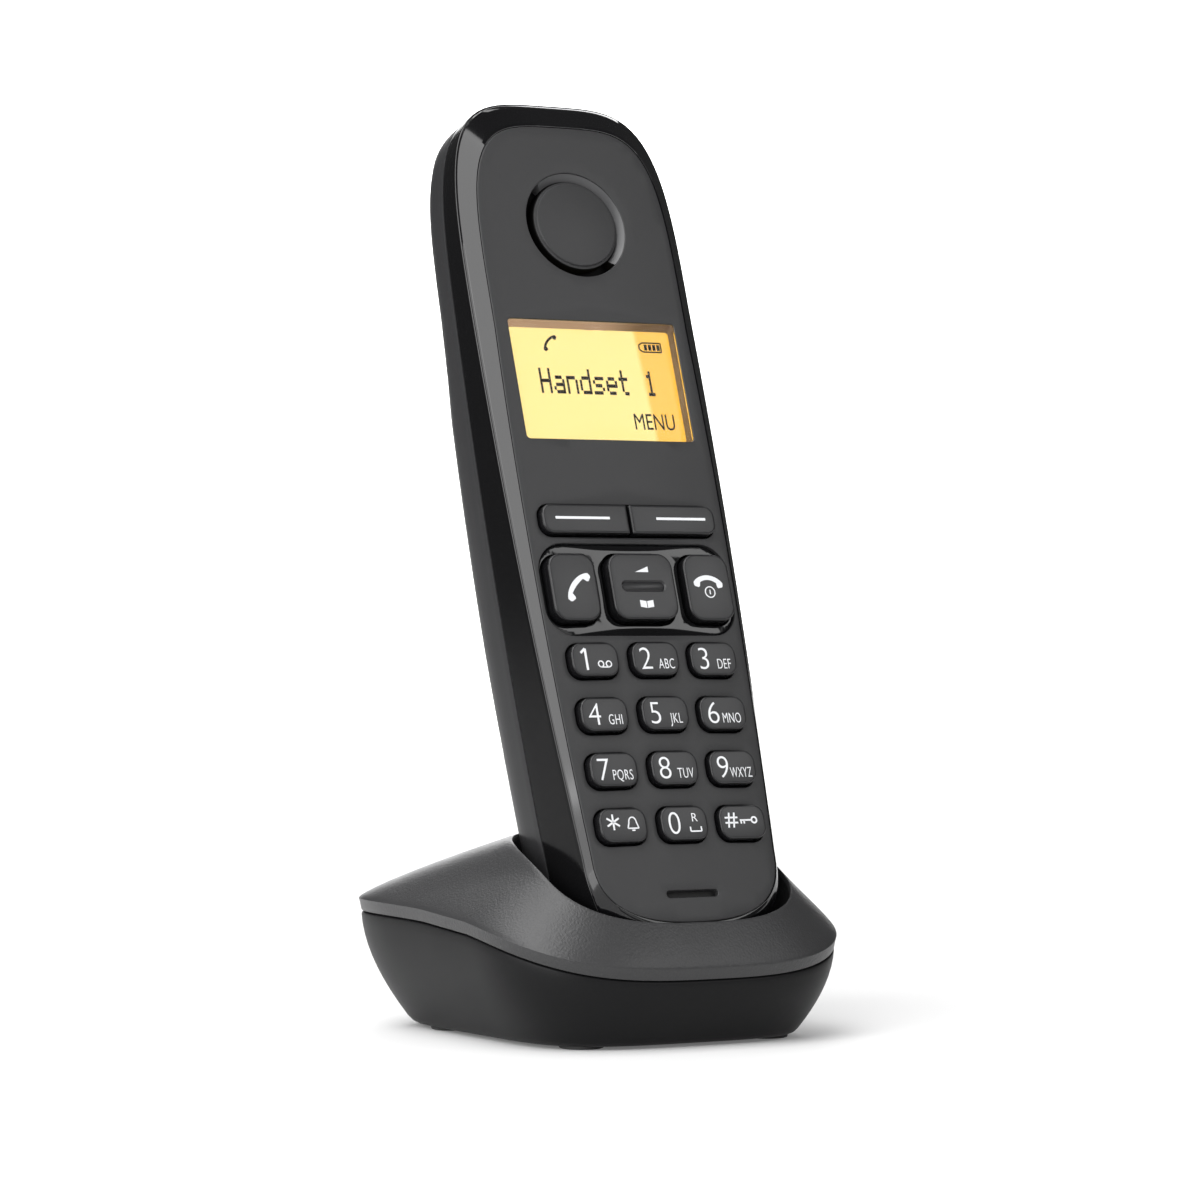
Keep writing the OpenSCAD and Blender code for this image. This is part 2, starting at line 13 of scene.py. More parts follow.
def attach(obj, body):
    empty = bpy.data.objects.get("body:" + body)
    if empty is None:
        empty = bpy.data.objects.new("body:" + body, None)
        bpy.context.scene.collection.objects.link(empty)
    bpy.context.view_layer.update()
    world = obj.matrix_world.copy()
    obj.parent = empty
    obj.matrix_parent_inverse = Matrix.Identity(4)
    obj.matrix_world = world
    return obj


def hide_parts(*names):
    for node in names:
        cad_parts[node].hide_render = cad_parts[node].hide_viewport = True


MM = 0.001
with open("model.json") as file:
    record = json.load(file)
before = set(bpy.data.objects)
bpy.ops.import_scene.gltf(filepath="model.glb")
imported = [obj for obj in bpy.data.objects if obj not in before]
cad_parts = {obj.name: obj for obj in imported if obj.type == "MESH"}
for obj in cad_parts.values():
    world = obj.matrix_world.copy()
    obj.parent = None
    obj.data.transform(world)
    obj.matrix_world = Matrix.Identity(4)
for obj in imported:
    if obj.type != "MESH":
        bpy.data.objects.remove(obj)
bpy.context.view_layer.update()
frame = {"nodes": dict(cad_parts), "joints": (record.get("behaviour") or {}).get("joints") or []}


# ---- the handset's own frame: u across, v up the face, t into its depth, in mm ----

JOINTS = {joint["name"]: joint for joint in frame["joints"]}
UP = np.array(JOINTS["handset_lift"]["axis"], float)
DEPTH = np.array(JOINTS["key_5_press"]["axis"], float)
ACROSS = np.array((1.0, 0.0, 0.0))
NAV_V = 64.7
NAV_PIVOT_T = 2.6
DOCK = np.array(JOINTS["nav_key_rock"]["pos_m"], float) - (NAV_V * UP + NAV_PIVOT_T * DEPTH) * MM

LENGTH = 155.4
HALF_W = 22.0
WIDEST_V = 112.0
LOW_V = 18.0
THICK = 25.0
PLATE_W = 19.6
PLATE_WIDE_V = 84.0
PLATE_LOW = 6.3
PLATE_TOP = 150.0
TOP_P = 4.15
PLATE_P = 4.25
RING_N = 256
FACE_R = 219.0
FLANGE_T = 2.5
SEAM_GAP = 0.13


def place(u, v, t):
    """World point of a place on the handset."""
    u, v, t = np.broadcast_arrays(u, v, t)
    flat = u[..., None] * ACROSS + v[..., None] * UP + t[..., None] * DEPTH
    return DOCK + flat * MM


def side_half(v):
    """Half width of the handset."""
    return HALF_W - 3.7e-4 * (WIDEST_V - v) ** 2


def plate_half(v):
    """Half width of the matte plate."""
    fall = np.where(v > PLATE_WIDE_V, 5.2e-4, 4.2e-4)
    return PLATE_W - fall * (v - PLATE_WIDE_V) ** 2


def crown(u):
    """Depth of the face, which falls off to both sides."""
    return u * u / (2 * FACE_R)


def back_depth(v):
    return THICK - 6.5 * (np.maximum(0, v - 45) / 100) ** 2


def seam_depth(v):
    return 12.8 - 0.052 * (v - 40)


def power(c, p):
    """A sine or cosine raised so that a circle's quarter becomes a superellipse's."""
    return np.sign(c) * np.abs(c) ** (2 / p)


def half_loop(half, low, top, low_p, top_p, widest):
    """Right half of an outline, from the middle of its lower end to the middle of its upper end."""
    a = np.linspace(0, math.pi / 2, 500)
    low_u = half(LOW_V) * power(np.sin(a), low_p)
    low_v = LOW_V + (low - LOW_V) * power(np.cos(a), low_p)
    side_v = np.linspace(LOW_V, WIDEST_V, 500)[1:-1]
    top_u = widest * power(np.cos(a), top_p)
    top_v = WIDEST_V + (top - WIDEST_V) * power(np.sin(a), top_p)
    return np.column_stack((np.concatenate((low_u, half(side_v), top_u)),
                            np.concatenate((low_v, side_v, top_v))))


def both_sides(half):
    """A whole outline from its right half, which begins and ends on the middle line."""
    return np.vstack((half, half[-2:0:-1] * (-1, 1)))


def matched_loops():
    """Outline of the handset and of its plate, with points that face each other."""
    outer = half_loop(side_half, 0.0, LENGTH, 2.3, TOP_P, HALF_W)
    inner = half_loop(plate_half, PLATE_LOW, PLATE_TOP, 2.5, PLATE_P, plate_half(WIDEST_V))
    steps = np.hypot(*np.diff((outer + inner) / 2, axis=0).T)
    arc = np.concatenate(((0,), np.cumsum(steps)))
    even = np.linspace(0, arc[-1], RING_N // 2 + 1)
    halves = [np.column_stack([np.interp(even, arc, axis) for axis in loop.T]) for loop in (outer, inner)]
    return [both_sides(half) for half in halves]


OUTLINE, PLATE = matched_loops()


def inward(loop):
    """Unit normals that point into an anticlockwise outline."""
    along = np.roll(loop, -1, 0) - np.roll(loop, 1, 0)
    normal = np.column_stack((-along[:, 1], along[:, 0]))
    return normal / np.linalg.norm(normal, axis=1)[:, None]


OUTLINE_IN = inward(OUTLINE)
PLATE_IN = inward(PLATE)


def outline(e):
    """The handset's outline, drawn in by e."""
    return OUTLINE + OUTLINE_IN * np.reshape(e, (-1, 1))


def plate_loop(e):
    """The plate's outline, drawn in by e."""
    return PLATE + PLATE_IN * np.reshape(e, (-1, 1))


# ---- meshes ----

def quad(i, n):
    """Corners of one face between two stacked rings of n points."""
    return i, (i + 1) % n, n + (i + 1) % n, n + i


class Shape:
    """Points in metres, and faces with a material number each."""

    def __init__(self):
        self.points = []
        self.faces = []
        self.kinds = []

    def add(self, points, faces, kind=0):
        first = len(self.points)
        self.points.extend([tuple(p) for p in np.asarray(points, float)])
        self.faces.extend([tuple(int(i) + first for i in face) for face in faces])
        self.kinds.extend([kind] * len(faces))

    def loft(self, rings, kinds=0, around=False):
        """Joins closed rings of equal length; around also joins the last ring to the first."""
        n = len(rings[0])
        spans = len(rings) if around else len(rings) - 1
        kinds = [kinds] * spans if isinstance(kinds, int) else kinds
        for k in range(spans):
            pair = np.vstack((rings[k], rings[(k + 1) % len(rings)]))
            self.add(pair, [quad(i, n) for i in range(n)], kinds[k])

    def cap(self, ring, kind=0):
        self.add(ring, [range(len(ring))], kind)

    def solid(self, rings):
        """Joins rings and closes both ends."""
        self.cap(rings[0])
        self.loft(rings)
        self.cap(rings[-1])


def inside(points, loop):
    """Which points lie inside a closed outline."""
    x, y = points[:, :1], points[:, 1:]
    ax, ay = loop[:, 0], loop[:, 1]
    bx, by = np.roll(ax, -1), np.roll(ay, -1)
    crosses = (ay > y) != (by > y)
    rise = np.where(by == ay, 1.0, by - ay)
    return (np.sum(crosses & (x < ax + (y - ay) * (bx - ax) / rise), axis=1) % 2) == 1


def within(points, outer, holes):
    """Which points lie inside an outline and outside its holes."""
    keep = inside(points, outer)
    for loop in holes:
        keep &= ~inside(points, loop)
    return keep


def grid_points(outer, holes, pitch):
    """Points on a grid inside an outline and clear of its edges."""
    lo, hi = outer.min(0), outer.max(0)
    axes = [np.arange(a + pitch / 2, b, pitch) for a, b in zip(lo, hi)]
    grid = np.stack(np.meshgrid(*axes), -1).reshape(-1, 2)
    grid = grid[within(grid, outer, holes)]
    for loop in [outer, *holes]:
        far = np.min(np.linalg.norm(grid[:, None] - loop[None], axis=2), axis=1) > pitch * 0.45
        grid = grid[far]
    return grid


def filled(outer, holes, pitch):
    """Triangles that fill an outline round its holes: points and faces."""
    loops = [outer, *holes]
    edges, first = [], 0
    for loop in loops:
        edges += [(first + i, first + (i + 1) % len(loop)) for i in range(len(loop))]
        first += len(loop)
    points = [Vector(p) for p in np.vstack([*loops, grid_points(outer, holes, pitch)])]
    found = delaunay_2d_cdt(points, edges, [], 0, 1e-7)
    flat = np.array([tuple(p) for p in found[0]])
    faces = np.array([tuple(f) for f in found[2]])
    return flat, faces[within(flat[faces].mean(1), outer, holes)]


def fill(shape, outer, holes, depth, pitch=2.0):
    """Fills an outline on the handset's face, at the depth that a function of u and v gives."""
    flat, faces = filled(outer, holes, pitch)
    u, v = flat.T
    shape.add(place(u, v, depth(u, v)), faces)


def linked(name, data):
    """A new object in the scene."""
    obj = bpy.data.objects.new(name, data)
    bpy.context.scene.collection.objects.link(obj)
    return obj


def clean_mesh(shape, name, merge, degenerate=0.0):
    """A shape's mesh with its doubled points merged and its faces turned outward."""
    mesh = bpy.data.meshes.new(name)
    mesh.from_pydata(shape.points, [], shape.faces)
    mesh.polygons.foreach_set("material_index", shape.kinds)
    bm = bmesh.new()
    bm.from_mesh(mesh)
    bmesh.ops.remove_doubles(bm, verts=bm.verts, dist=merge)
    if degenerate:
        bmesh.ops.dissolve_degenerate(bm, edges=bm.edges, dist=degenerate)
    bmesh.ops.recalc_face_normals(bm, faces=bm.faces)
    bm.to_mesh(mesh)
    bm.free()
    return mesh


def smooth(mesh, angle):
    mesh.shade_smooth()
    mesh.set_sharp_from_angle(angle=math.radians(angle))


def piece(shape, name, body, materials, replaces=(), angle=32.0):
    """A closed mesh object that rides on a body and stands for CAD nodes."""
    mesh = clean_mesh(shape, name, 2e-6, 1e-6)
    smooth(mesh, angle)
    obj = linked(name, mesh)
    for material in materials:
        mesh.materials.append(material)
    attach(obj, body)
    if replaces:
        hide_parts(*replaces)
    return obj


def rounded(w, h, r, centre, steps=8, r_right=None):
    """Anticlockwise rectangle with round corners; its right corners may have their own radius."""
    r_right = r if r_right is None else r_right
    loop = []
    for quarter, (sx, sy) in enumerate(((1, 1), (-1, 1), (-1, -1), (1, -1))):
        radius = r_right if sx > 0 else r
        for a in np.linspace(0, math.pi / 2, steps + 1) + quarter * math.pi / 2:
            loop.append((sx * (w / 2 - radius) + radius * math.cos(a),
                         sy * (h / 2 - radius) + radius * math.sin(a)))
    return np.array(loop) + centre


def circle(r, centre, n):
    a = np.arange(n) * 2 * math.pi / n
    return np.column_stack((r * np.cos(a), r * np.sin(a))) + centre


def fillet(r, steps=3):
    """Steps of a round edge, as distance in from the edge and depth below the top."""
    a = np.linspace(0, math.pi / 2, steps + 1)
    return [(r * (1 - math.sin(x)), r * (1 - math.cos(x))) for x in a]


def face_ring(loop, depth):
    """Ring on the handset through an outline, at a depth below the curved face."""
    u, v = loop.T
    return place(u, v, crown(u) + depth)


def flat_ring(loop, t):
    """Ring on the handset through an outline, at one depth or at a depth for each point."""
    u, v = loop.T
    return place(u, v, t)


def slab(shape, outer, holes, top, bottom, edge, hole_edge=None):
    """A plate that follows the face. Outlines are functions of how far they are drawn into the plate."""
    hole_edge = edge if hole_edge is None else hole_edge
    at = lambda d: lambda u, v: crown(u) + d
    fill(shape, outer(edge), [hole(hole_edge) for hole in holes], at(top))
    fill(shape, outer(0), [hole(0) for hole in holes], at(bottom))
    for loop, r in [(outer, edge)] + [(hole, hole_edge) for hole in holes]:
        rings = [face_ring(loop(e), top + d) for e, d in fillet(r)]
        shape.loft(rings + [face_ring(loop(0), bottom)])


# ---- materials ----

PATCHES_PER_M = 60


def set_inputs(node, values):
    """Sets a node's inputs, whose names have _ for a space."""
    for key, value in values.items():
        node.inputs[key.replace("_", " ")].default_value = value


def new_node(nodes, kind, **values):
    node = nodes.new("ShaderNode" + kind)
    set_inputs(node, values)
    return node


def node_material(name, colour, roughness, **sockets):
    """A material with its shader."""
    material = bpy.data.materials.new(name)
    material.use_nodes = True
    shader = material.node_tree.nodes["Principled BSDF"]
    set_inputs(shader, {"Base_Color": (*colour, 1), "Roughness": roughness, **sockets})
    return material, shader


def wire(a, output, b, socket):
    a.id_data.links.new(a.outputs[output], b.inputs[socket])


def tools(material):
    """A material's nodes, and a new one that gives the place on the object."""
    nodes = material.node_tree.nodes
    return nodes, new_node(nodes, "TexCoord")


def grain(material, shader, size, height, rough=None):
    """Moulded texture: a bump of a grain size in mm and a height in mm, and a varying roughness."""
    nodes, where = tools(material)
    noise = new_node(nodes, "TexNoise", Scale=1 / (size * MM), Detail=2.0)
    wire(where, "Object", noise, "Vector")
    bump = new_node(nodes, "Bump", Distance=height * MM)
    wire(noise, "Fac", bump, "Height")
    wire(bump, "Normal", shader, "Normal")
    if rough:
        broad = new_node(nodes, "TexNoise", Scale=PATCHES_PER_M)
        wire(where, "Object", broad, "Vector")
        spread = new_node(nodes, "MapRange", To_Min=rough[0], To_Max=rough[1])
        wire(broad, "Fac", spread, "Value")
        wire(spread, "Result", shader, "Roughness")
    return material


def plastic(name, colour, roughness, size, height, spread, shine=0.5):
    """Plastic with a grain, whose roughness varies by spread to either side."""
    material, shader = node_material(name, colour, roughness, Specular_IOR_Level=shine)
    return grain(material, shader, size, height, rough=(roughness - spread, roughness + spread))


GLOSS = plastic("gloss_black", (0.0035, 0.0035, 0.004), 0.09, 4.0, 0.0006, 0.02)
SIDE = plastic("gloss_side", (0.0045, 0.0045, 0.0048), 0.16, 4.0, 0.0006, 0.03, 0.06)
PANEL = plastic("panel_gloss", (0.003, 0.003, 0.0035), 0.07, 4.0, 0.0005, 0.02)
MATTE = plastic("matte_plate", (0.0235, 0.0235, 0.0245), 0.48, 0.22, 0.012, 0.04)
REAR = plastic("rear_satin", (0.017, 0.017, 0.018), 0.42, 0.3, 0.01, 0.04, 0.35)
KEY_TOP = plastic("key_top", (0.014, 0.014, 0.015), 0.36, 0.25, 0.006, 0.04)
KEY_SIDE = plastic("key_side", (0.004, 0.004, 0.0045), 0.25, 0.5, 0.002, 0.04, 0.3)
BASE_TOP = plastic("base_matte", (0.027, 0.027, 0.028), 0.4, 0.4, 0.07, 0.09)
BASE_LOW = plastic("base_satin", (0.006, 0.006, 0.0064), 0.44, 0.5, 0.004, 0.04, 0.15)
WELL = plastic("well_black", (0.006, 0.006, 0.0065), 0.45, 0.3, 0.01, 0.04)
SLOT = plastic("slot_black", (0.001, 0.001, 0.001), 0.6, 0.3, 0.004, 0.04, 0.1)
RAMP = plastic("slot_ramp", (0.06, 0.06, 0.062), 0.34, 0.3, 0.004, 0.04)
JACK = plastic("jack_plastic", (0.008, 0.008, 0.008), 0.4, 0.5, 0.004, 0.04)
RUBBER = plastic("foot_rubber", (0.03, 0.03, 0.03), 0.75, 0.4, 0.02, 0.05)
LEGEND = plastic("legend_white", (0.72, 0.73, 0.75), 0.5, 0.3, 0.002, 0.05)
SILICONE = plastic("silicone_mat", (0.01, 0.01, 0.01), 0.6, 0.5, 0.01, 0.05)
DIFFUSER = plastic("diffuser", (0.8, 0.72, 0.5), 0.5, 0.5, 0.004, 0.05)
INK = plastic("lcd_ink", (0.012, 0.008, 0.004), 0.6, 0.5, 0.001, 0.05)
CELL = plastic("cell_wrap", (0.09, 0.22, 0.16), 0.3, 3.0, 0.004, 0.05)


def metal(name, colour, roughness, size):
    """Bare metal with a fine grain."""
    material, shader = node_material(name, colour, roughness, Metallic=1.0)
    return grain(material, shader, size, 0.004, rough=(roughness - 0.06, roughness + 0.08))


STEEL = metal("shield_metal", (0.62, 0.62, 0.63), 0.32, 1.2)
NICKEL = metal("contact_metal", (0.78, 0.72, 0.58), 0.25, 0.8)
SPEAKER = metal("speaker_metal", (0.3, 0.3, 0.31), 0.4, 0.6)


def board_material():
    """Green solder mask with faint copper lines under it."""
    material, shader = node_material("circuit_board", (0.01, 0.09, 0.035), 0.3)
    nodes, where = tools(material)
    lines = new_node(nodes, "TexBrick", Scale=260, Mortar_Size=0.04, Mortar=(0.03, 0.19, 0.07, 1),
                     Color1=(0.008, 0.075, 0.03, 1), Color2=(0.012, 0.1, 0.04, 1))
    wire(where, "Object", lines, "Vector")
    wire(lines, "Color", shader, "Base Color")
    return grain(material, shader, 0.6, 0.004)


BOARD = board_material()


# Slant of the edge where the painted light on the display and its walls changes colour
SLANT = 0.055
DISPLAY_Z = 0.1119


def glow_with_painted_light(name, left, right, start, end, strength):
    """A glowing material that turns from one colour to another across the display, in mm of u. The turn
    is painted light: a painted reflection on the display and a painted glow on the walls round it.
    """
    material, shader = node_material(name, (0.1, 0.07, 0.03), 0.35)
    nodes, where = tools(material)
    split = new_node(nodes, "SeparateXYZ")
    wire(where, "Object", split, "Vector")
    slant = new_node(nodes, "Math")
    slant.operation = "MULTIPLY_ADD"
    wire(split, "Z", slant, 0)
    slant.inputs[1].default_value = SLANT
    wire(split, "X", slant, 2)
    tilt = SLANT * DISPLAY_Z
    spread = new_node(nodes, "MapRange", From_Min=start * MM + tilt, From_Max=end * MM + tilt)
    spread.interpolation_type = "SMOOTHSTEP"
    wire(slant, "Value", spread, "Value")
    mix = new_node(nodes, "Mix")
    mix.data_type = "RGBA"
    wire(spread, "Result", mix, "Factor")
    mix.inputs["A"].default_value = (*left, 1)
    mix.inputs["B"].default_value = (*right, 1)
    wire(mix, "Result", shader, "Emission Color")
    shader.inputs["Emission Strength"].default_value = strength
    return grain(material, shader, 0.4, 0.001)


# The display's own amber backlight glow; its lighter left part, behind a slanted edge, is a painted
# reflection on the lens.
AMBER_PAINTED_REFLECTION = glow_with_painted_light("lcd_amber", (1.0, 0.80, 0.27), (0.98, 0.52, 0.04), 9.2, 10.4, 0.97)


def lens_material():
    """Clear window that lets nearly all light through."""
    material, shader = node_material("clear_lens", (1, 1, 1), 0.02, IOR=1.1, Transmission_Weight=1.0)
    return grain(material, shader, 6.0, 0.0001)


LENS = lens_material()
# Walls round the display window: a painted glow standing in for the display's light on them, brighter at
# the left.
WALL_PAINTED_GLOW = glow_with_painted_light("painted_glow_wall", (0.36, 0.22, 0.15), (0.07, 0.04, 0.03), 2.0, 12.0, 0.9)


# ---- handset housings ----

def bevel_outer_t(v):
    """Depth of the bevel's outer edge."""
    return np.interp(v, (0, 5, 12, 60, 117, 155), (5.4, 3.4, 1.9, 2.4, 2.9, 2.6))


def low_share(v):
    """1 at the lower end, and 0 from a little above it."""
    return np.clip(1 - v / 9, 0, 1) ** 1.5


def front_housing():
    shape = Shape()
    outer_t = bevel_outer_t(OUTLINE[:, 1])
    lip = 0.12
    inner_t = crown(PLATE[:, 0])
    curve = 1 + 1.1 * low_share(OUTLINE[:, 1])
    edge = plate_loop(-lip)
    rings = [face_ring(plate_loop(e), t) for e, t in ((0.7, 2.3), (0.7, 1.3), (0, 1.3))]
    rings += [place(*plate_loop(-e).T, inner_t + d) for e, d in ((0, 0.1), (0.03, 0.02), (lip, 0))]
    round_at = 0.9
    side_t = outer_t + 0.3
    for s in (0.15, 0.3, 0.45, 0.6, 0.75, round_at):
        loop = edge + (OUTLINE - edge) * s
        rings.append(place(*loop.T, inner_t + (outer_t - inner_t) * s ** curve))
    for a in np.radians((20, 45, 70, 90)):
        loop = OUTLINE + (edge - OUTLINE) * (1 - round_at) * (1 - math.sin(a))
        rings.append(place(*loop.T, side_t - (outer_t - inner_t) * (1 - round_at) * math.cos(a) * 0.9))
    bevel = len(rings) - 1
    seam = seam_depth(OUTLINE[:, 1]) - SEAM_GAP
    for s in (0.1, 0.4, 0.7, 0.92):
        rings.append(place(*OUTLINE.T, side_t + (seam - outer_t - 0.3) * s))
    for e, t in ((0.02, seam - 0.12), (0.14, seam), (SKIN, seam), (SKIN, outer_t + 1.8)):
        rings.append(place(*outline(e).T, t))
    shape.loft(rings, [0] * bevel + [1] * (len(rings) - bevel), around=True)
    piece(shape, "front_housing", "handset", [GLOSS, SIDE], ["front_shell"], 38)


COVER_W = 26.8
COVER_LOW = 42.4
COVER_HIGH = 101.6
COVER_MID = (0.0, (COVER_LOW + COVER_HIGH) / 2)
SKIN = 1.6
COVER_GAP = 0.15
HINGE_V = 43.2
HINGE_T = 24.2
HINGE_R = 0.9


def cover_depth(v, below):
    """Depth of the cover at a distance below its face, with its lower edge rounded about the hinge."""
    reach = np.clip(HINGE_V - v, 0, HINGE_R)
    turned = HINGE_T + np.sqrt(HINGE_R**2 - reach**2)
    return np.where(v < HINGE_V, np.minimum(back_depth(v) - below, turned), back_depth(v) - below)


def dense(loop):
    """A rounded rectangle with points added along its sides, so that it can follow the curved back."""
    steps = np.roll(loop, -1, 0) - loop
    length = np.linalg.norm(steps, axis=1)
    counts = np.select((length > 30, length > 10), (18, 7), 1)
    return np.vstack([a + step * np.arange(n)[:, None] / n for a, step, n in zip(loop, steps, counts)])


def cover_loop(e):
    """Outline of the battery cover, drawn in by e."""
    return dense(rounded(COVER_W - 2 * e, COVER_HIGH - COVER_LOW - 2 * e, 2.4 - e, COVER_MID))


def door_loop(e):
    """Outline of the cover itself, with its lower corners drawn in to clear the housing as it tilts."""
    loop = cover_loop(e)
    near = np.clip((46 - loop[:, 1]) / 3.6, 0, 1)
    return loop * np.column_stack((1 - 0.035 * near**2, np.ones(len(loop))))


def rear_rings(draw_in):
    """Rings of the rear housing from the seam to the flat of its back, and the flat's outline."""
    n_u, n_v = OUTLINE_IN.T
    v = OUTLINE[:, 1]
    beside_cover = side_half(v) - COVER_W / 2 - 0.8 + 0.2 * np.maximum(0, v - COVER_HIGH)
    side_reach = np.minimum(np.interp(v, (45, 115), (6.5, 9.5)), beside_cover)
    reach = side_reach * n_u ** 2 + np.where(n_v < 0, 11.0, 5.0) * n_v ** 2
    rings = []
    start = seam_depth(v) + SEAM_GAP
    flat = np.interp(v, (60, 120, 150), (4.0, 1.5, 4.0))
    turn = np.minimum(11.0, back_depth(v) - start - flat)
    for s in (0.35, 0.7, 1.0):
        side_t = start + 0.14 + (back_depth(v) - turn - start - 0.14) * s
        rings.append(place(*outline(draw_in).T, side_t))
    for a in np.radians((12, 24, 36, 48, 60, 70, 80, 90)):
        e = draw_in + (reach - draw_in) * (1 - math.cos(a))
        loop = outline(e)
        depth = back_depth(loop[:, 1]) - turn + (turn - draw_in) * math.sin(a)
        rings.append(place(*loop.T, depth))
    return rings, outline(reach)


def back_ring(loop, d):
    """Ring through an outline at a distance below the curved back."""
    return flat_ring(loop, back_depth(loop[:, 1]) - d)


def rear_housing():
    shape = Shape()
    start = seam_depth(OUTLINE[:, 1]) + SEAM_GAP
    outer, back_loop = rear_rings(0.0)
    inner, inner_loop = rear_rings(SKIN)
    lip = [place(*outline(e).T, start + d) for e, d in ((SKIN, 0), (0.14, 0), (0.03, 0.05), (0, 0.14))]
    shape.loft(lip + outer)
    shape.loft([lip[0]] + inner)
    edge = fillet(0.25)
    hole = [cover_loop(-COVER_GAP - e) for e, d in edge]
    hole_low = cover_loop(-COVER_GAP)
    fill(shape, back_loop, [hole[0]], lambda u, v: back_depth(v), pitch=3.0)
    fill(shape, inner_loop, [hole_low], lambda u, v: back_depth(v) - SKIN, pitch=3.0)
    wall = [back_ring(loop, d) for loop, (e, d) in zip(hole, edge)] + [back_ring(hole_low, SKIN)]
    shape.loft(wall)
    battery_tray(shape)
    piece(shape, "rear_housing", "handset", [REAR], ["rear_shell"], 38)


def battery_tray(shape):
    """Bay of the cells, with a ledge all round that carries the cover and leaves room for its swing."""
    bay = lambda e: dense(rounded(24.4 + 2 * e, 54.0 + 2 * e, 1.0 + e, (0, 70.5)))
    ledge = lambda e: dense(rounded(29.4 + 2 * e, 61.6 + 2 * e, 2.0 + e, COVER_MID))
    swing = lambda v: 1.1 * np.clip((46 - v) / 2, 0, 1)
    under = lambda loop, d: flat_ring(loop, back_depth(loop[:, 1]) - SKIN - d - swing(loop[:, 1]))
    inner = [under(ledge(0), 0.1), under(bay(0.3), 0.1), under(bay(0), 0.4), flat_ring(bay(0), 10.4)]
    outer = [flat_ring(bay(1.2), 9.4), under(bay(1.2), 1.6), under(ledge(0), 1.3)]
    shape.loft(outer + inner[:1])
    shape.loft(inner)
    shape.cap(inner[-1])
    shape.cap(outer[0])


def battery_cover():
    """Cover with a round lower edge and three grip ridges near its upper edge."""
    shape = Shape()
    edge = fillet(0.35)
    top = [door_loop(e) for e, d in edge]
    outside = [flat_ring(loop, cover_depth(loop[:, 1], d)) for loop, (e, d) in zip(top, edge)]
    inside_t = lambda u, v: back_depth(v) - SKIN + 0.05
    low = flat_ring(door_loop(0), inside_t(*door_loop(0).T))
    ridges = [shrunk((12.0, 1.0, 0.5), (0, v), steps=5) for v in (92.5, 94.5, 96.5)]
    fill(shape, top[0], [ridge(0) for ridge in ridges], lambda u, v: cover_depth(v, 0), pitch=3.0)
    fill(shape, door_loop(0), [], inside_t, pitch=3.0)
    shape.loft(outside + [low])
    for ridge in ridges:
        rings = [back_ring(ridge(e), d) for e, d in ((0, 0), (0.1, 0.22), (0.3, 0.3))]
        shape.loft(rings)
        shape.cap(rings[-1])
    piece(shape, "battery_door", "battery_cover", [REAR], ["battery_cover"], 38)


# ---- face ----

NUMBER_KEY = (9.0, 5.9, 2.1)
PITCH_U, PITCH_V, ROW_V = 11.6, 9.6, 23.1
KEY_GAP = 0.3
CALL_U = 13.2
CALL = (9.0, 12.0, 2.6)
NAV = (12.6, 11.8, 2.6)
SOFT_V = 77.0
WINDOW = (33.2, 21.9, 0.7)
WINDOW_V = 102.8
EAR_V = 131.6
EAR_R = 9.75
MIC_V = 11.3
PANEL_SIZE = (37.2, 16.4, 5.0)
SOFT_HOLE = (34.6, 5.9, 2.3)
MIC_SLOT = (10.0, 1.25, 0.62)


def grown(size, centre, gap=0.0):
    """Outline of a rounded rectangle as a function of how far it is drawn into the material round it."""
    w, h, r = size
    return lambda e: rounded(w + 2 * (gap + e), h + 2 * (gap + e), r + gap + e, centre)


def shrunk(size, centre, gap=0.0, steps=8):
    """Outline of a rounded rectangle as a function of how far it is drawn in."""
    w, h, r = size
    return lambda e: rounded(w - 2 * (gap + e), h - 2 * (gap + e), r - gap - e, centre, steps)


def key_centres():
    """Names and centres of the twelve number keys."""
    names = (("star", "0", "hash"), ("7", "8", "9"), ("4", "5", "6"), ("1", "2", "3"))
    for row, group in enumerate(names):
        for column, name in enumerate(group):
            yield name, ((column - 1) * PITCH_U, ROW_V + row * PITCH_V)


def face_plate():
    shape = Shape()
    holes = [grown(NUMBER_KEY, centre, KEY_GAP) for name, centre in key_centres()]
    middle = ((WINDOW, WINDOW_V), (PANEL_SIZE, NAV_V), (SOFT_HOLE, SOFT_V), (MIC_SLOT, MIC_V))
    holes += [grown(size, (0, v)) for size, v in middle]
    holes.append(lambda e: circle(EAR_R + e, (0, EAR_V), 128))
    slab(shape, lambda e: plate_loop(0.07 + e), holes, 0.0, 1.2, 0.22, hole_edge=0.16)
    piece(shape, "matte_face", "handset", [MATTE], ["face_plate"], 30)


def sound_cloth():
    """Black cloth behind the slot of the microphone."""
    shape = Shape()
    prism(shape, rounded(12.0, 3.0, 1.4, (0, MIC_V)), 1.45, 1.75, 0)
    piece(shape, "sound_cloth", "handset", [SILICONE])


def key_panel():
    shape = Shape()
    call = [grown(CALL, (s * CALL_U, NAV_V), KEY_GAP) for s in (-1, 1)]
    nav = grown(NAV, (0, NAV_V), 0.45)
    slab(shape, shrunk(PANEL_SIZE, (0, NAV_V), 0.08), [*call, nav], 0.5, 1.2, 0.15)
    piece(shape, "gloss_key_panel", "handset", [PANEL], ["key_panel"], 30)


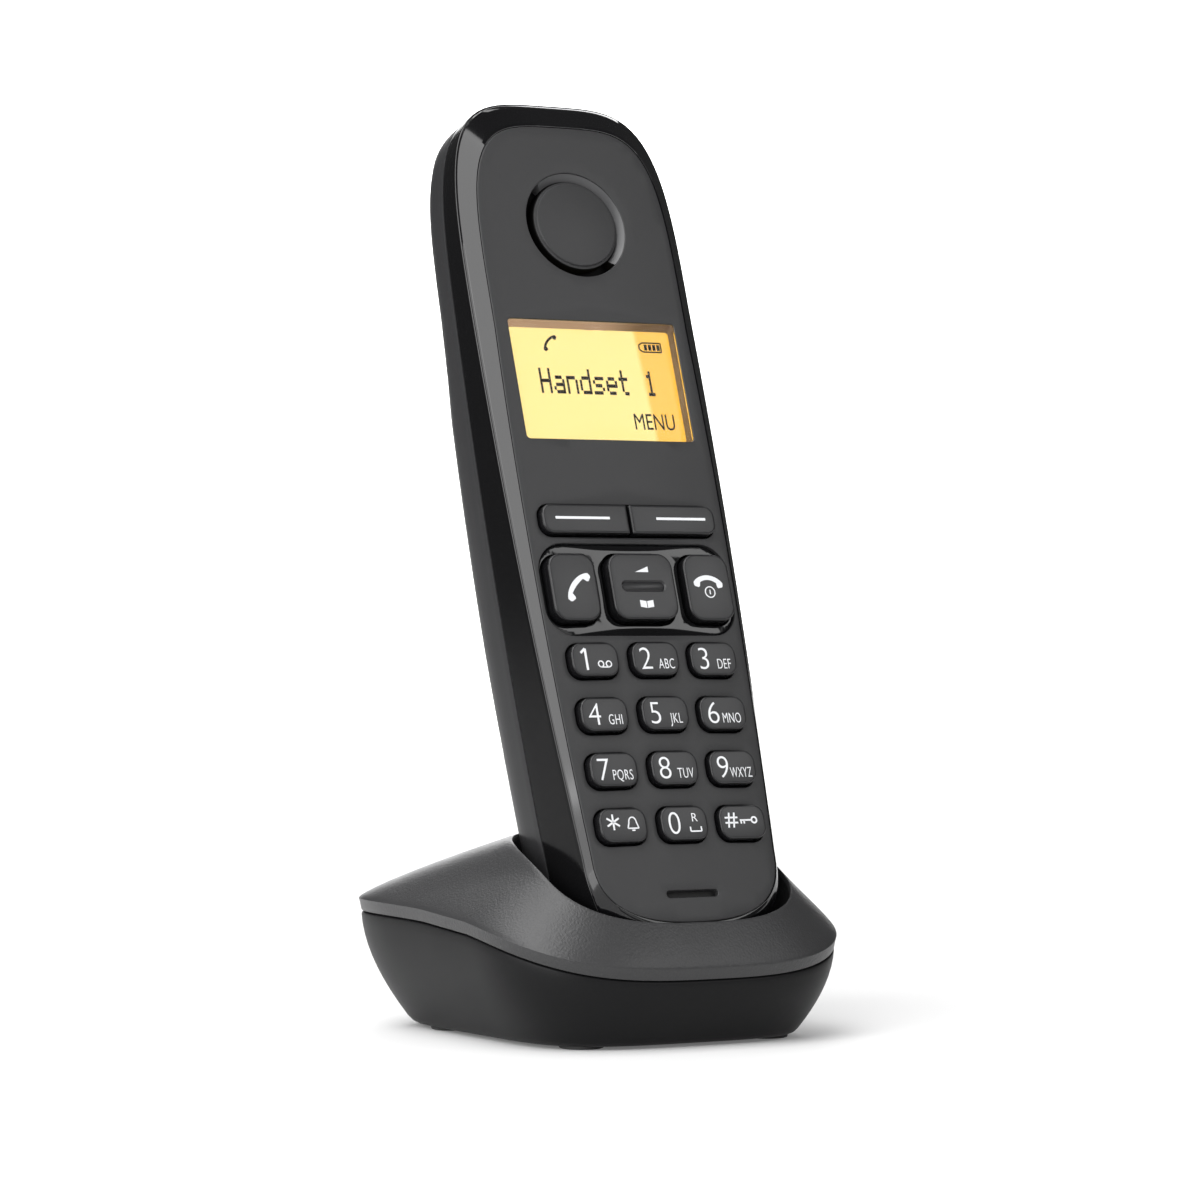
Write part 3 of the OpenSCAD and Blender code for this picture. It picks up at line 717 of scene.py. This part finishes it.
def earpiece():
    """Disc whose stepped rim and the plate's round hole form the sound slot, deep at the lower left."""
    shape = Shape()
    n = 160
    a = np.arange(n) * 2 * math.pi / n
    ring = lambda r, t: place(r * np.cos(a), EAR_V + r * np.sin(a), np.broadcast_to(t, n) + 0.0)
    raised = np.clip(np.cos(a - math.radians(41)) * 60 + 0.5, 0, 1)
    deep = 2.55
    disc = [ring(r, t) for r, t in ((7.45, 0.0), (7.62, 0.05), (7.72, 0.2), (7.78, 0.4), (8.15, 0.5))]
    slot = [disc[-1], ring(8.25, 0.62), ring(8.3, deep - raised * 1.3), ring(8.5, deep - raised * 1.35)]
    slot += [ring(9.7, deep - raised * (deep - 0.3)), ring(9.7, deep + 0.05)]
    ramp = 3
    shape.cap(disc[0])
    shape.loft(disc)
    for k, (low, high) in enumerate(zip(slot, slot[1:])):
        for dark in (False, True):
            quads = [quad(i, n) for i in range(n) if (raised[i] < 0.5) == dark]
            shape.add(np.vstack((low, high)), quads, 2 if k == ramp and not dark else 1)
    shape.cap(slot[-1])
    piece(shape, "earpiece_cap", "handset", [MATTE, SLOT, RAMP], ["earpiece_disc"], 30)


WINDOW_MID = (0, WINDOW_V)


def window_lens():
    """Clear lens over the display."""
    shape = Shape()
    slab(shape, shrunk(WINDOW, WINDOW_MID, 0.06), [], 0.1, 0.7, 0.08)
    piece(shape, "window_lens", "handset", [LENS], ["display_lens"], 30)


def window_walls():
    """Walls between the lens and the display, with the display's light on them painted as a glow that
    fades towards the right.
    """
    shape = Shape()
    w, h, r = WINDOW
    outer = grown((w + 1.2, h + 1.2, 1.4), WINDOW_MID)(0)
    inner = grown((w, h, 0.6), WINDOW_MID)(0.05)
    low = rounded(w - 0.45, h - 0.85, 0.6, (-0.22, WINDOW_V - 0.42))
    rings = [flat_ring(loop, t) for loop, t in ((low, 2.55), (inner, 0.95), (outer, 1.25), (outer, 2.55))]
    shape.loft(rings, around=True)
    piece(shape, "window_walls", "handset", [WALL_PAINTED_GLOW])


def display():
    shape = Shape()
    face = lambda e: rounded(36 - 2 * e, 26 - 2 * e, 1.0, WINDOW_MID)
    shape.solid([flat_ring(face(e), t) for e, t in ((0.2, 2.6), (0, 2.8), (0, 3.9))])
    display_text(shape)
    piece(shape, "amber_display", "handset", [AMBER_PAINTED_REFLECTION, INK], ["lcd_module"], 30)


# ---- lettering and signs ----

def prism(shape, loop, top, bottom, kind):
    """A flat sign: an outline in mm on the face, raised from bottom to top."""
    shape.loft([flat_ring(loop, top), flat_ring(loop, bottom)], kind)
    shape.cap(flat_ring(loop, top), kind)
    shape.cap(flat_ring(loop, bottom), kind)


def text_mesh(text, spacing=1.0, thin=0.0):
    """Points and faces of a word in flat letters with a small thickness."""
    curve = bpy.data.curves.new("word", "FONT")
    curve.body = text
    curve.space_character = spacing
    curve.resolution_u = 6
    curve.extrude = 0.05
    curve.offset = -thin
    holder = linked("word", curve)
    bpy.context.view_layer.update()
    made = holder.evaluated_get(bpy.context.evaluated_depsgraph_get()).to_mesh()
    points = np.array([v.co for v in made.vertices])
    faces = [tuple(p.vertices) for p in made.polygons]
    bpy.data.objects.remove(holder)
    bpy.data.curves.remove(curve)
    return points, faces


CAP_HEIGHT = np.ptp(text_mesh("H")[0][:, 1])


def write(shape, text, height, centre, top, kind, width=1.0, spacing=1.0, thin=0.009):
    """Letters of a cap height in mm, centred on a point of the face, with their tops at a depth."""
    points, faces = text_mesh(text, spacing, thin)
    scale = height / CAP_HEIGHT
    middle = (points[:, 0].min() + points[:, 0].max()) / 2
    u = centre[0] + (points[:, 0] - middle) * scale * width
    v = centre[1] + (points[:, 1] - CAP_HEIGHT / 2) * scale
    t = np.where(points[:, 2] > 0, top, top + 0.08)
    shape.add(place(u, v, t), faces, kind)


def stroke(points, width):
    """Outline of a line of one width."""
    line = np.array(points, float)
    along = np.gradient(line, axis=0)
    side = np.column_stack((-along[:, 1], along[:, 0]))
    side /= np.linalg.norm(side, axis=1)[:, None]
    half = width / 2
    return np.vstack((line + side * half, (line - side * half)[::-1]))


def arc_points(centre, r, start, end, n, squeeze=1.0):
    """Points on an arc between two angles in degrees, squeezed in height."""
    a = np.radians(np.linspace(start, end, n))
    return np.column_stack((centre[0] + r * np.cos(a), centre[1] + r * squeeze * np.sin(a)))


def turned(loop, centre, angle):
    """An outline turned about a point."""
    c, s = math.cos(math.radians(angle)), math.sin(math.radians(angle))
    return (loop - centre) @ np.array(((c, s), (-s, c))) + centre


def receiver_sign(shape, centre, size, angle, top, kind, weight=1.0, rise=0.46):
    """Sign of a telephone receiver: a bow with two thick ends."""
    x = np.linspace(-1, 1, 21)
    bow = np.column_stack((x, rise * (1 - x * x) ** 0.8))
    x = np.linspace(-0.56, 0.56, 11)
    hollow = rise - 0.29 * weight
    under = np.column_stack((x, hollow * (1 - (x / 0.56) ** 2)))
    end = np.array(((0.99, -0.18), (0.93, -0.26), (0.68, -0.32), (0.6, -0.24)))
    loop = np.vstack((bow, end, under[::-1], end[::-1] * (-1, 1))) * size + centre
    prism(shape, turned(loop, np.array(centre), angle), top, top + 0.1, kind)


def ring_sign(shape, centre, r, width, top, kind):
    """A ring with a hairline gap."""
    prism(shape, stroke(arc_points(centre, r, 0, 359, 28), width), top, top + 0.1, kind)


def bar_sign(shape, a, b, width, top, kind):
    """A straight bar between two points."""
    prism(shape, stroke((a, b), width), top, top + 0.1, kind)


def path_sign(shape, points, width, top, kind):
    """Line through several points, one bar for each stretch."""
    for a, b in zip(points, points[1:]):
        bar_sign(shape, a, b, width, top, kind)


# Dot-matrix letters as bars: left, bottom, columns and rows, on a grid of square cells
LETTER_BARS = {
    "H": ((0, 0, 1, 7), (4, 0, 1, 7), (1, 3, 3, 1)),
    "a": ((0, 1, 1, 1), (1, 0, 3, 1), (1, 2, 3, 1), (1, 4, 3, 1), (4, 0, 1, 4)),
    "n": ((0, 0, 1, 5), (1, 4, 3, 1), (4, 0, 1, 4)),
    "d": ((4, 0, 1, 7), (1, 0, 3, 1), (0, 1, 1, 3), (1, 4, 3, 1)),
    "s": ((0, 0, 4, 1), (4, 1, 1, 1), (1, 2, 3, 1), (0, 3, 1, 1), (1, 4, 4, 1)),
    "e": ((1, 0, 3, 1), (0, 1, 1, 3), (1, 2, 4, 1), (4, 3, 1, 1), (1, 4, 3, 1)),
    "t": ((1, 1, 1, 6), (0, 4, 1, 1), (2, 4, 2, 1), (2, 0, 2, 1)),
    "1": ((2, 0, 1, 7), (1, 0, 1, 1), (3, 0, 1, 1), (1, 5, 1, 1)),
}


def dot_word(shape, word, left, bottom, cell_u, cell_v, top, kind):
    """A word in square cells with hairline gaps between them."""
    for number, letter in enumerate(word):
        for x, y, columns, rows in LETTER_BARS.get(letter, ()):
            for i in range(columns):
                for j in range(rows):
                    u = left + (number * 6 + x + i + 0.5) * cell_u
                    v = bottom + (y + j + 0.5) * cell_v
                    cell = rounded(cell_u * 0.97, cell_v * 0.95, 0.02, (u, v), 1)
                    prism(shape, cell, top, top + 0.06, kind)


def display_text(shape):
    """What the display shows: a name, two signs and the word of the right display key."""
    top = 2.56
    dot_word(shape, "Handset 1", -11.1, 100.9, 0.436, 0.665, top, 1)
    write(shape, "MENU", 2.9, (10.4, 96.1), top, 1, 0.72, thin=0.0)
    receiver_sign(shape, (-8.0, 110.3), 1.9, 47, top, 1, 0.8, rise=0.33)
    battery_sign(shape, (12.2, 110.0), top)


def battery_sign(shape, centre, top):
    """Sign of a full battery, lying on its side."""
    u, v = centre
    case = ((u - 1.6, v + 0.85), (u + 2.1, v + 0.85), (u + 2.1, v - 0.85), (u - 1.6, v - 0.85))
    nose = (case[0], (u - 2.3, v + 0.4), (u - 2.3, v - 0.4), case[3])
    for line in (case, nose):
        path_sign(shape, line, 0.27, top, 1)
    for k in range(4):
        prism(shape, rounded(0.6, 1.1, 0.05, (u - 1.0 + 0.85 * k, v), 2), top, top + 0.06, 1)


# ---- keys ----

# Of a key's faces, kind 0 is the sides, 1 the top with its edge and 2 the legend
KEY_LOOKS = [KEY_SIDE, KEY_TOP, LEGEND]
LETTERS = dict(zip("23456789", ("ABC", "DEF", "GHI", "JKL", "MNO", "PQRS", "TUV", "WXYZ")))
WORD_FITS = {"WXYZ": (0.54, 0.5), "PQRS": (0.63, 0.4), "MNO": (0.6, 0.4)}


def key_rings(shape, loop, top, edge):
    """Bottom, sides and round edge of a key, and the ring round its top, which it returns."""
    steps = fillet(edge, 5)
    rings = [flat_ring(loop(e), top + d) for e, d in steps]
    kinds = [1, 1] + [0] * (len(steps) - 2)
    bottom = flat_ring(loop(0), FLANGE_T)
    shape.loft(rings + [bottom], kinds)
    shape.cap(bottom)
    return rings[0]


def simple_key(node, size, centre, proud, edge, signs):
    """One key with a flat top; signs(shape, top) adds its legend."""
    shape = Shape()
    top = crown(centre[0]) - proud
    crest = key_rings(shape, shrunk(size, centre), top, edge)
    shape.cap(crest, 1)
    signs(shape, top - 0.03)
    piece(shape, node + "_cap", node, KEY_LOOKS, [node], 30)


def number_signs(name, centre, shape, top):
    """Legend of a number key: the number at the left and its letters or sign at the right."""
    u, v = centre
    if name == "1":
        one = ((u - 2.75, v + 1.1), (u - 1.85, v + 1.85), (u - 1.85, v - 1.9))
        path_sign(shape, one, 0.42, top, 2)
    elif name not in ("star", "hash"):
        write(shape, name, 3.85, (u - 2.05, v), top, 2, 0.95, thin=0.014)
    if name in LETTERS:
        word = LETTERS[name]
        width, shift = WORD_FITS.get(word, (0.62, 0.0))
        write(shape, word, 1.75, (u + 1.85 - shift, v - 0.95), top, 2, width, spacing=1.06)
    elif name == "1":
        for s in (-1, 1):
            ring_sign(shape, (u + 1.6 + s * 0.75, v - 0.85), 0.5, 0.22, top, 2)
        bar_sign(shape, (u + 0.8, v - 1.4), (u + 2.4, v - 1.4), 0.22, top, 2)
    elif name == "0":
        write(shape, "R", 1.45, (u + 2.0, v + 0.9), top, 2)
        space = ((u + 0.9, v - 0.7), (u + 0.9, v - 1.5), (u + 3.0, v - 1.5), (u + 3.0, v - 0.7))
        path_sign(shape, space, 0.24, top, 2)
    elif name == "star":
        star_signs(shape, u, v, top)
    else:
        hash_signs(shape, u, v, top)


def star_signs(shape, u, v, top):
    """Six-armed star and a bell."""
    arm = 1.35
    for a in np.radians((30, 90, 150)):
        c, s = math.cos(a) * arm, math.sin(a) * arm
        bar_sign(shape, (u - 2.0 - c, v + 0.5 - s), (u - 2.0 + c, v + 0.5 + s), 0.32, top, 2)
    bell = arc_points((u + 1.7, v + 0.4), 0.72, 0, 180, 12, 1.25)
    bell = np.vstack(((u + 2.75, v - 0.6), bell, (u + 0.65, v - 0.6)))
    path_sign(shape, [tuple(p) for p in bell] + [(u + 2.75, v - 0.6)], 0.22, top, 2)
    bar_sign(shape, (u + 1.4, v - 0.95), (u + 2.0, v - 0.95), 0.24, top, 2)


def hash_signs(shape, u, v, top):
    """Number sign and a small door key."""
    for s in (-1, 1):
        bar_sign(shape, (u - 2.45 + s * 0.5, v - 1.0), (u - 2.05 + s * 0.5, v + 1.6), 0.3, top, 2)
        bar_sign(shape, (u - 3.5, v + 0.3 + s * 0.45), (u - 1.0, v + 0.3 + s * 0.45), 0.3, top, 2)
    ring_sign(shape, (u + 2.2, v + 0.25), 0.5, 0.3, top, 2)
    bar_sign(shape, (u - 0.6, v + 0.25), (u + 1.7, v + 0.25), 0.28, top, 2)
    for x in (-0.4, 0.2):
        bar_sign(shape, (u + x, v + 0.25), (u + x, v - 0.35), 0.28, top, 2)


def talk_sign(shape, top):
    receiver_sign(shape, (-CALL_U + 0.5, NAV_V + 0.1), 3.2, 46, top, 2, rise=0.35)


def end_sign(shape, top):
    """Receiver lying down over the sign of a switch."""
    receiver_sign(shape, (CALL_U - 0.1, NAV_V + 0.8), 2.85, -3, top, 2)
    ring_sign(shape, (CALL_U, NAV_V - 0.9), 0.95, 0.2, top, 2)
    bar_sign(shape, (CALL_U, NAV_V - 1.3), (CALL_U, NAV_V - 0.5), 0.2, top, 2)


def nav_key():
    """Square key with a shallow pill-shaped groove across its middle."""
    shape = Shape()
    top, edge = -1.4, 0.45
    loop = shrunk(NAV, (0, NAV_V))
    key_rings(shape, loop, top, edge)
    groove = [rounded(8.6 + 2 * e, 1.9 + 2 * e, 0.94 + e, (0, NAV_V)) for e in (0.1, 0.0, -0.15, -0.4)]
    depths = (0.0, 0.15, 0.3, 0.16)
    flat, faces = filled(loop(edge), [groove[0]], 2.0)
    shape.add(place(*flat.T, top), faces, 1)
    shape.loft([flat_ring(g, top + d) for g, d in zip(groove, depths)], 1)
    shape.cap(flat_ring(groove[-1], top + depths[-1]), 1)
    wedge = np.array(((-1.3, 2.5), (1.3, 2.5), (1.3, 3.5))) + (0, NAV_V)
    prism(shape, wedge, top - 0.03, top + 0.07, 2)
    for s in (-1, 1):
        page = np.array(((0.08, -3.9), (1.3, -3.7), (1.3, -2.5), (0.08, -2.7)))[::s] * (s, 1) + (0, NAV_V)
        prism(shape, page, top - 0.03, top + 0.07, 2)
    piece(shape, "navigation_key", "nav_key", KEY_LOOKS, ["nav_key"], 30)


def soft_key(s, node):
    """Display key whose outer corners are round and whose inner edge is a slanted facet."""
    shape = Shape()
    left, right = (1.9, 0.35) if s < 0 else (0.35, 1.9)

    def loop(e):
        facet = e * 1.2
        r_left, r_right = max(left - e, 0.15), max(right - e, 0.15)
        half = rounded(16.8 - e - facet, 5.3 - 2 * e, r_left, (0, 0), 8, r_right)
        return half + (s * (8.6 + (facet - e) / 2), SOFT_V)

    top = -0.9 + crown(8.6)
    shape.cap(key_rings(shape, loop, top, 0.5), 1)
    bar_w, bar_u = (10.6, -9.3) if s < 0 else (9.8, 10.1)
    prism(shape, rounded(bar_w, 0.46, 0.1, (bar_u, SOFT_V + 0.1), 3), top - 0.03, top + 0.07, 2)
    piece(shape, node + "_cap", node, KEY_LOOKS, [node], 30)


def keys():
    for name, centre in key_centres():
        signs = partial(number_signs, name, centre)
        simple_key("key_" + name, NUMBER_KEY, centre, 1.3, 0.42, signs)
    simple_key("talk_key", CALL, (-CALL_U, NAV_V), 1.4, 0.5, talk_sign)
    simple_key("end_key", CALL, (CALL_U, NAV_V), 1.4, 0.5, end_sign)
    nav_key()
    soft_key(-1, "soft_key_left")
    soft_key(1, "soft_key_right")


# ---- base, in mm of the world ----

BASE_N = 240
BELT = (33.3, -37.5, 37.5, -12.5, 3.0, 6.2)
FOOT = (25.6, -32.6, 28.5, -6.5, 3.7, 6.0)
MOUTH = (23.0, -33.7, 2.0, -20.5, 2.85, 2.9)
BELT_H = 2.3
WALL = 1.6
UNDER_Z = 0.5
INSIDE_Z = 2.3
SEAM_H = 0.18
WELL_SIZE = (17.2, 0.5, 25.9, 12.5, 4.0, 6.0)
WELL_V = -0.8
FLOOR_MID = np.array((0.0, 13.0))
FLOOR_SHARE = 1 - 1 / 18
CONTACT_U = 7.0
CONTACT_T = 9.0
PORT_W = 32.0
PORT_Y = 11.0
PORT_TOP = 11.8
PORT_WALL = 1.2
LINE_BAY = ((-14.6, 8, 2.45), (-1.4, 12, 11.7))
POWER_BAY = ((2.9, 8, 2.45), (13.6, 12, 11.7))
PAGE_AT = (19, 1)
PAGE_HOLE_R = 4.3
FEET = ((18, -25), (-18, -25), (21, 14), (-21, 14))
FOOT_HOLE_R = 3.8
ROUND_N = 64
TRAY_ANGLE = 34


def plan(o, e=0.0):
    """Outline of half width, front, back, widest y and two exponents, drawn in by e."""
    a = np.arange(BASE_N) * 2 * math.pi / BASE_N
    half, front, back, widest = o[0] - e, o[1] + e, o[2] - e, o[3]
    s = np.sin(a)
    p = np.where(s < 0, o[4], o[5])
    reach = np.where(s < 0, widest - front, back - widest)
    return half * power(np.cos(a), p), widest + reach * power(s, p)


def belt_height(y):
    """Height of the base's crease, which falls toward the front."""
    return 22.1 - 8.7 * (np.maximum(0, BELT[2] - y) / 75.0) ** 4.5


def belt_ring(e, drop):
    """Ring at a distance below the crease."""
    x, y = plan(BELT, e)
    return np.column_stack((x, y, belt_height(y) - drop))


def mouth_ring(e, drop):
    """Ring at a distance below the rim of the cradle's mouth, drawn out by e."""
    x, y = plan(MOUTH, -e)
    z = 34.5 - 13.8 * (np.maximum(0, MOUTH[2] - y) / 35.6) ** 1.9
    return np.column_stack((x, y, z - drop))


def well_outline(e):
    """Outline of the cradle's well across the handset's end, drawn out by e."""
    half, front, back, *rest = WELL_SIZE
    return np.column_stack(plan((half + e, front - e / 8, back + e, *rest)))


def well_ring(e):
    u, t = well_outline(e).T
    return place(u, WELL_V - e, t) / MM


def floor_outline():
    """Outline of the well's flat floor, inside its round edge."""
    return FLOOR_MID + (well_outline(0) - FLOOR_MID) * FLOOR_SHARE


def between(a, b, s):
    """Ring between two rings, which rises fastest near the first."""
    mixed = a + (b - a) * s
    mixed[:, 2] = a[:, 2] + (b[:, 2] - a[:, 2]) * s ** 0.85
    return mixed


def foot_ring(e, s, z0):
    """Ring of the lower shell between its foot, at s 0, and the seam, at s 1."""
    x0, y0 = plan(BELT, e + 0.4)
    x1, y1 = plan(FOOT, e)
    f = (1 - s) ** 1.75
    top = belt_height(y0) - BELT_H - SEAM_H
    return np.column_stack((x0 + (x1 - x0) * f, y0 + (y1 - y0) * f, z0 + (top - z0) * s))


def in_metres(rings):
    return [ring * MM for ring in rings]


def base_top():
    """Upper shell, from the seam over the crease and the mouth down to the well's floor."""
    shape = Shape()
    crease = belt_ring(0, 0)
    mouth = mouth_ring(0, 0)
    seam = ((0.62, BELT_H - 0.1), (0.45, BELT_H - 0.12), (0.37, BELT_H - 0.28))
    edge = ((0.12, 0.6), (0.05, 0.3), (0.0, 0.1))
    slope = (0.015, 0.05, 0.12, 0.2, 0.3, 0.4, 0.5, 0.6, 0.7, 0.8, 0.88, 0.95, 0.985)
    outer = [belt_ring(e, drop) for e, drop in seam + edge]
    outer += [between(crease, mouth, s) for s in slope]
    outer += [mouth_ring(e, drop) for e, drop in ((-0.06, 0.06), (-0.16, 0.25), (-0.24, 0.6))]
    lip = mouth_ring(-0.3, 1.0)
    low = well_ring(0)
    u, t = floor_outline().T
    well = [lip + (low - lip) * s for s in (0, 0.25, 0.5, 0.75, 0.95)] + [place(u, WELL_V, t) / MM]
    under = [well_ring(WALL), mouth_ring(1.2, 2.4)]
    under += [between(belt_ring(WALL, 1.2), mouth_ring(1.2, 1.9), s) for s in (0.95, 0.75, 0.5, 0.25, 0)]
    under += [belt_ring(WALL + 0.4, BELT_H - 0.1)]
    shape.loft(in_metres(outer + well[:1]), 0)
    shape.loft(in_metres(well), 1)
    shape.loft(in_metres(under + outer[:1]), 0)
    well_floor(shape, floor_outline(), WELL_V)
    well_floor(shape, well_outline(WALL), WELL_V - WALL)
    slot_walls(shape)
    piece(shape, "cradle", "base", [BASE_TOP, WELL], ["base_top_shell"], 30)


def contact_slots():
    """Outlines of the charge contacts' slots in the floor."""
    return [rounded(3.0, 4.8, 0.3, (s * CONTACT_U, CONTACT_T), 3) for s in (-1, 1)]


def well_floor(shape, loop, v):
    """Floor of the well with the two slots of the charge contacts."""
    flat, faces = filled(loop, contact_slots(), 3.0)
    shape.add(place(flat[:, 0], v, flat[:, 1]), faces, 1)


def slot_walls(shape):
    for slot in contact_slots():
        u, t = slot.T
        shape.loft([place(u, WELL_V, t), place(u, WELL_V - WALL, t)], 1)


def tray_rings():
    """Rings up the outside of the lower shell, over the tongue behind the seam and down the inside."""
    wall = (0.13, 0.2, 0.3, 0.4, 0.5, 0.6, 0.7, 0.8, 0.9, 0.975)
    outer = [foot_ring(1.1, 0, UNDER_Z), foot_ring(0.5, 0, UNDER_Z + 0.12)]
    outer += [foot_ring(0.12, 0.03, UNDER_Z), foot_ring(0, 0.07, UNDER_Z)]
    outer += [foot_ring(0, s, UNDER_Z) for s in wall]
    outer += [foot_ring(0.05, 0.993, UNDER_Z), foot_ring(0.2, 1.0, UNDER_Z)]
    tongue = [foot_ring(e, 1.0, UNDER_Z) + (0, 0, up) for e, up in ((0.8, 0), (0.8, 0.9), (1.4, 0.9))]
    inner = [foot_ring(1.8, s, INSIDE_Z) for s in (0.9, 0.7, 0.5, 0.3, 0.15, 0)]
    return in_metres(outer + tongue + inner)


def base_bottom():
    """Lower shell with the connector bay and the holes of the paging key and the feet."""
    shape = Shape()
    rings = tray_rings()
    shape.loft(rings)
    shape.cap(rings[0])
    shape.cap(rings[-1])
    tray = piece(shape, "base_tray", "base", [BASE_LOW], ["base_bottom_shell"], TRAY_ANGLE)
    carve(tray, bay_housing(), "UNION")
    holes = [box((-PORT_W / 2, PORT_Y, -1), (PORT_W / 2, 45, PORT_TOP)), box(*LINE_BAY), box(*POWER_BAY)]
    holes += [rod(PAGE_HOLE_R, PAGE_AT, -1, 5)] + [rod(FOOT_HOLE_R, centre, -1, 1.7) for centre in FEET]
    for hole in holes:
        carve(tray, hole, "DIFFERENCE")
    smooth(tray.data, TRAY_ANGLE)


def bay_housing():
    """Solid block of the connector bay, whose back lies inside the shell's own wall."""
    low, high = 1.0, PORT_TOP + PORT_WALL
    side = [(PORT_Y - PORT_WALL, low), (28.2, low), (35.0, high), (PORT_Y - PORT_WALL, high)]
    half = PORT_W / 2 + PORT_WALL
    return tool_shape([np.array([(x, y, z) for y, z in side]) for x in (-half, half)])


def box(lo, hi):
    loop = [(lo[0], lo[1]), (hi[0], lo[1]), (hi[0], hi[1]), (lo[0], hi[1])]
    return tool_shape([np.array([(x, y, z) for x, y in loop], float) for z in (lo[2], hi[2])])


def round_ring(r, centre, z):
    return np.column_stack((circle(r, centre, ROUND_N), np.full(ROUND_N, float(z))))


def rod(r, centre, z0, z1):
    return tool_shape([round_ring(r, centre, z) for z in (z0, z1)])


def tool_shape(rings):
    """Closed solid between two rings."""
    shape = Shape()
    shape.solid(in_metres(rings))
    return shape


def carve(obj, shape, operation):
    """Joins a closed shape to an object, or cuts it away; the shape itself is removed."""
    mesh = clean_mesh(shape, "tool", 1e-6)
    tool = linked("tool", mesh)
    change = obj.modifiers.new("carve", "BOOLEAN")
    change.operation = operation
    change.solver = "EXACT"
    change.object = tool
    bpy.context.view_layer.update()
    made = bpy.data.meshes.new_from_object(obj.evaluated_get(bpy.context.evaluated_depsgraph_get()))
    obj.modifiers.remove(change)
    obj.data = made
    bpy.data.objects.remove(tool)
    bpy.data.meshes.remove(mesh)


def feet():
    shape = Shape()
    profile = ((3.3, 0.0), (3.65, 0.12), (3.75, 0.4), (3.75, 1.65))
    for centre in FEET:
        shape.solid(in_metres([round_ring(r, centre, z) for r, z in profile]))
    piece(shape, "rubber_pads", "base", [RUBBER], ["rubber_feet"], 30)


# ---- CAD nodes that stay ----

KEPT = (
    (DIFFUSER, ["light_guide"]),
    (SILICONE, ["keypad_mat"]),
    (KEY_TOP, ["page_key"]),
    (SPEAKER, ["earpiece_speaker", "microphone", "ringer_speaker"]),
    (BOARD, ["main_board", "base_board"]),
    (STEEL, ["shield_can", "base_shield", "page_switch"]),
    (NICKEL, ["handset_antenna", "base_antennas", "battery_contacts",
              "charge_pad_left", "charge_pad_right", "charge_contact_left", "charge_contact_right"]),
    (CELL, ["battery_left", "battery_right"]),
    (JACK, ["line_jack", "power_jack"]),
)


def dress_kept_nodes():
    for material, names in KEPT:
        for name in names:
            materials = frame["nodes"][name].data.materials
            materials.clear()
            materials.append(material)


# ---- floor, light and camera ----

def stage_mesh(name, points, material):
    mesh = bpy.data.meshes.new(name)
    mesh.from_pydata(points, [], [range(len(points))])
    mesh.materials.append(material)
    linked(name, mesh)


def pale_material(name, grey, emission):
    """A dull pale surface with a faint glow of its own."""
    white = (1, 1, 1, 1)
    sockets = {"Specular_IOR_Level": 0.0, "Emission_Color": white, "Emission_Strength": emission}
    return node_material(name, (grey, grey, grey), 0.9, **sockets)[0]


CAMERA_AT = Vector((-0.3694, -0.63109, 0.07128))
VIEW = Vector((0.50537, 0.86290, 0.00361))
LENS_MM = 127.5
FLOOR_R = 1.5
BACKDROP_AWAY = 1.45
BACKDROP_HALF_W = 0.5
BACKDROP_H = 1.0


def stage():
    """Round floor, and an upright panel behind the object that the glossy edges reflect."""
    side = Vector((VIEW.y, -VIEW.x, 0)).normalized()
    ahead = Vector((VIEW.x, VIEW.y, 0)).normalized()
    turns = np.linspace(0, 2 * math.pi, 65)[:-1]
    disc = [side * math.cos(a) * FLOOR_R + ahead * math.sin(a) * FLOOR_R for a in turns]
    stage_mesh("floor", disc, pale_material("pale_floor", 0.6, 0.13))
    low = ahead * BACKDROP_AWAY
    wide, tall = side * BACKDROP_HALF_W, Vector((0, 0, BACKDROP_H))
    panel = [low - wide, low + wide, low + wide + tall, low - wide + tall]
    stage_mesh("backdrop", panel, pale_material("backdrop", 0.9, 1.0))


def turn_to(obj, at, direction):
    """Puts a light or camera at a place, facing a direction."""
    obj.location = at
    obj.rotation_mode = "QUATERNION"
    obj.rotation_quaternion = direction.to_track_quat("-Z", "Y")


def area_light(name, at, aim, size, power_w, size_y=None):
    """A soft box at a place, turned to its aim."""
    data = bpy.data.lights.new(name, "AREA")
    data.energy = power_w
    data.size = size
    if size_y:
        data.shape = "RECTANGLE"
        data.size_y = size_y
    turn_to(linked(name, data), Vector(at), Vector(aim) - Vector(at))


def lights():
    world = bpy.data.worlds.new("studio")
    world.use_nodes = True
    set_inputs(world.node_tree.nodes["Background"], {"Color": (1, 1, 1, 1), "Strength": 0.1})
    bpy.context.scene.world = world
    aim = (0, 0, 0.08)
    area_light("left_box", (-0.845, -0.53, 0.565), aim, 0.8, 27.5, 2.5)
    area_light("left_back_box", (-1.07, 0.075, 0.28), aim, 0.7, 6.0, 0.8)
    area_light("overhead", (-0.25, 0.25, 1.35), (0, 0, 0), 1.1, 13)
    area_light("far_floor", (0.55, 0.95, 0.9), (0.6, 1.05, 0), 0.9, 13.0)
    area_light("front_fill", (0.15, -1.3, 0.55), aim, 0.7, 1.5)
    area_light("right_box", (0.60, -0.82, 0.70), aim, 0.45, 2.0)


def camera():
    data = bpy.data.cameras.new("view")
    data.sensor_width = 36
    data.lens = LENS_MM
    data.clip_start = 0.01
    data.clip_end = 20
    obj = linked("view", data)
    turn_to(obj, CAMERA_AT, VIEW)
    bpy.context.scene.camera = obj


bpy.context.scene.view_settings.view_transform = "Standard"
camera()
front_housing()
rear_housing()
battery_cover()
face_plate()
key_panel()
sound_cloth()
earpiece()
window_lens()
window_walls()
display()
keys()
base_top()
base_bottom()
feet()
dress_kept_nodes()
stage()
lights()
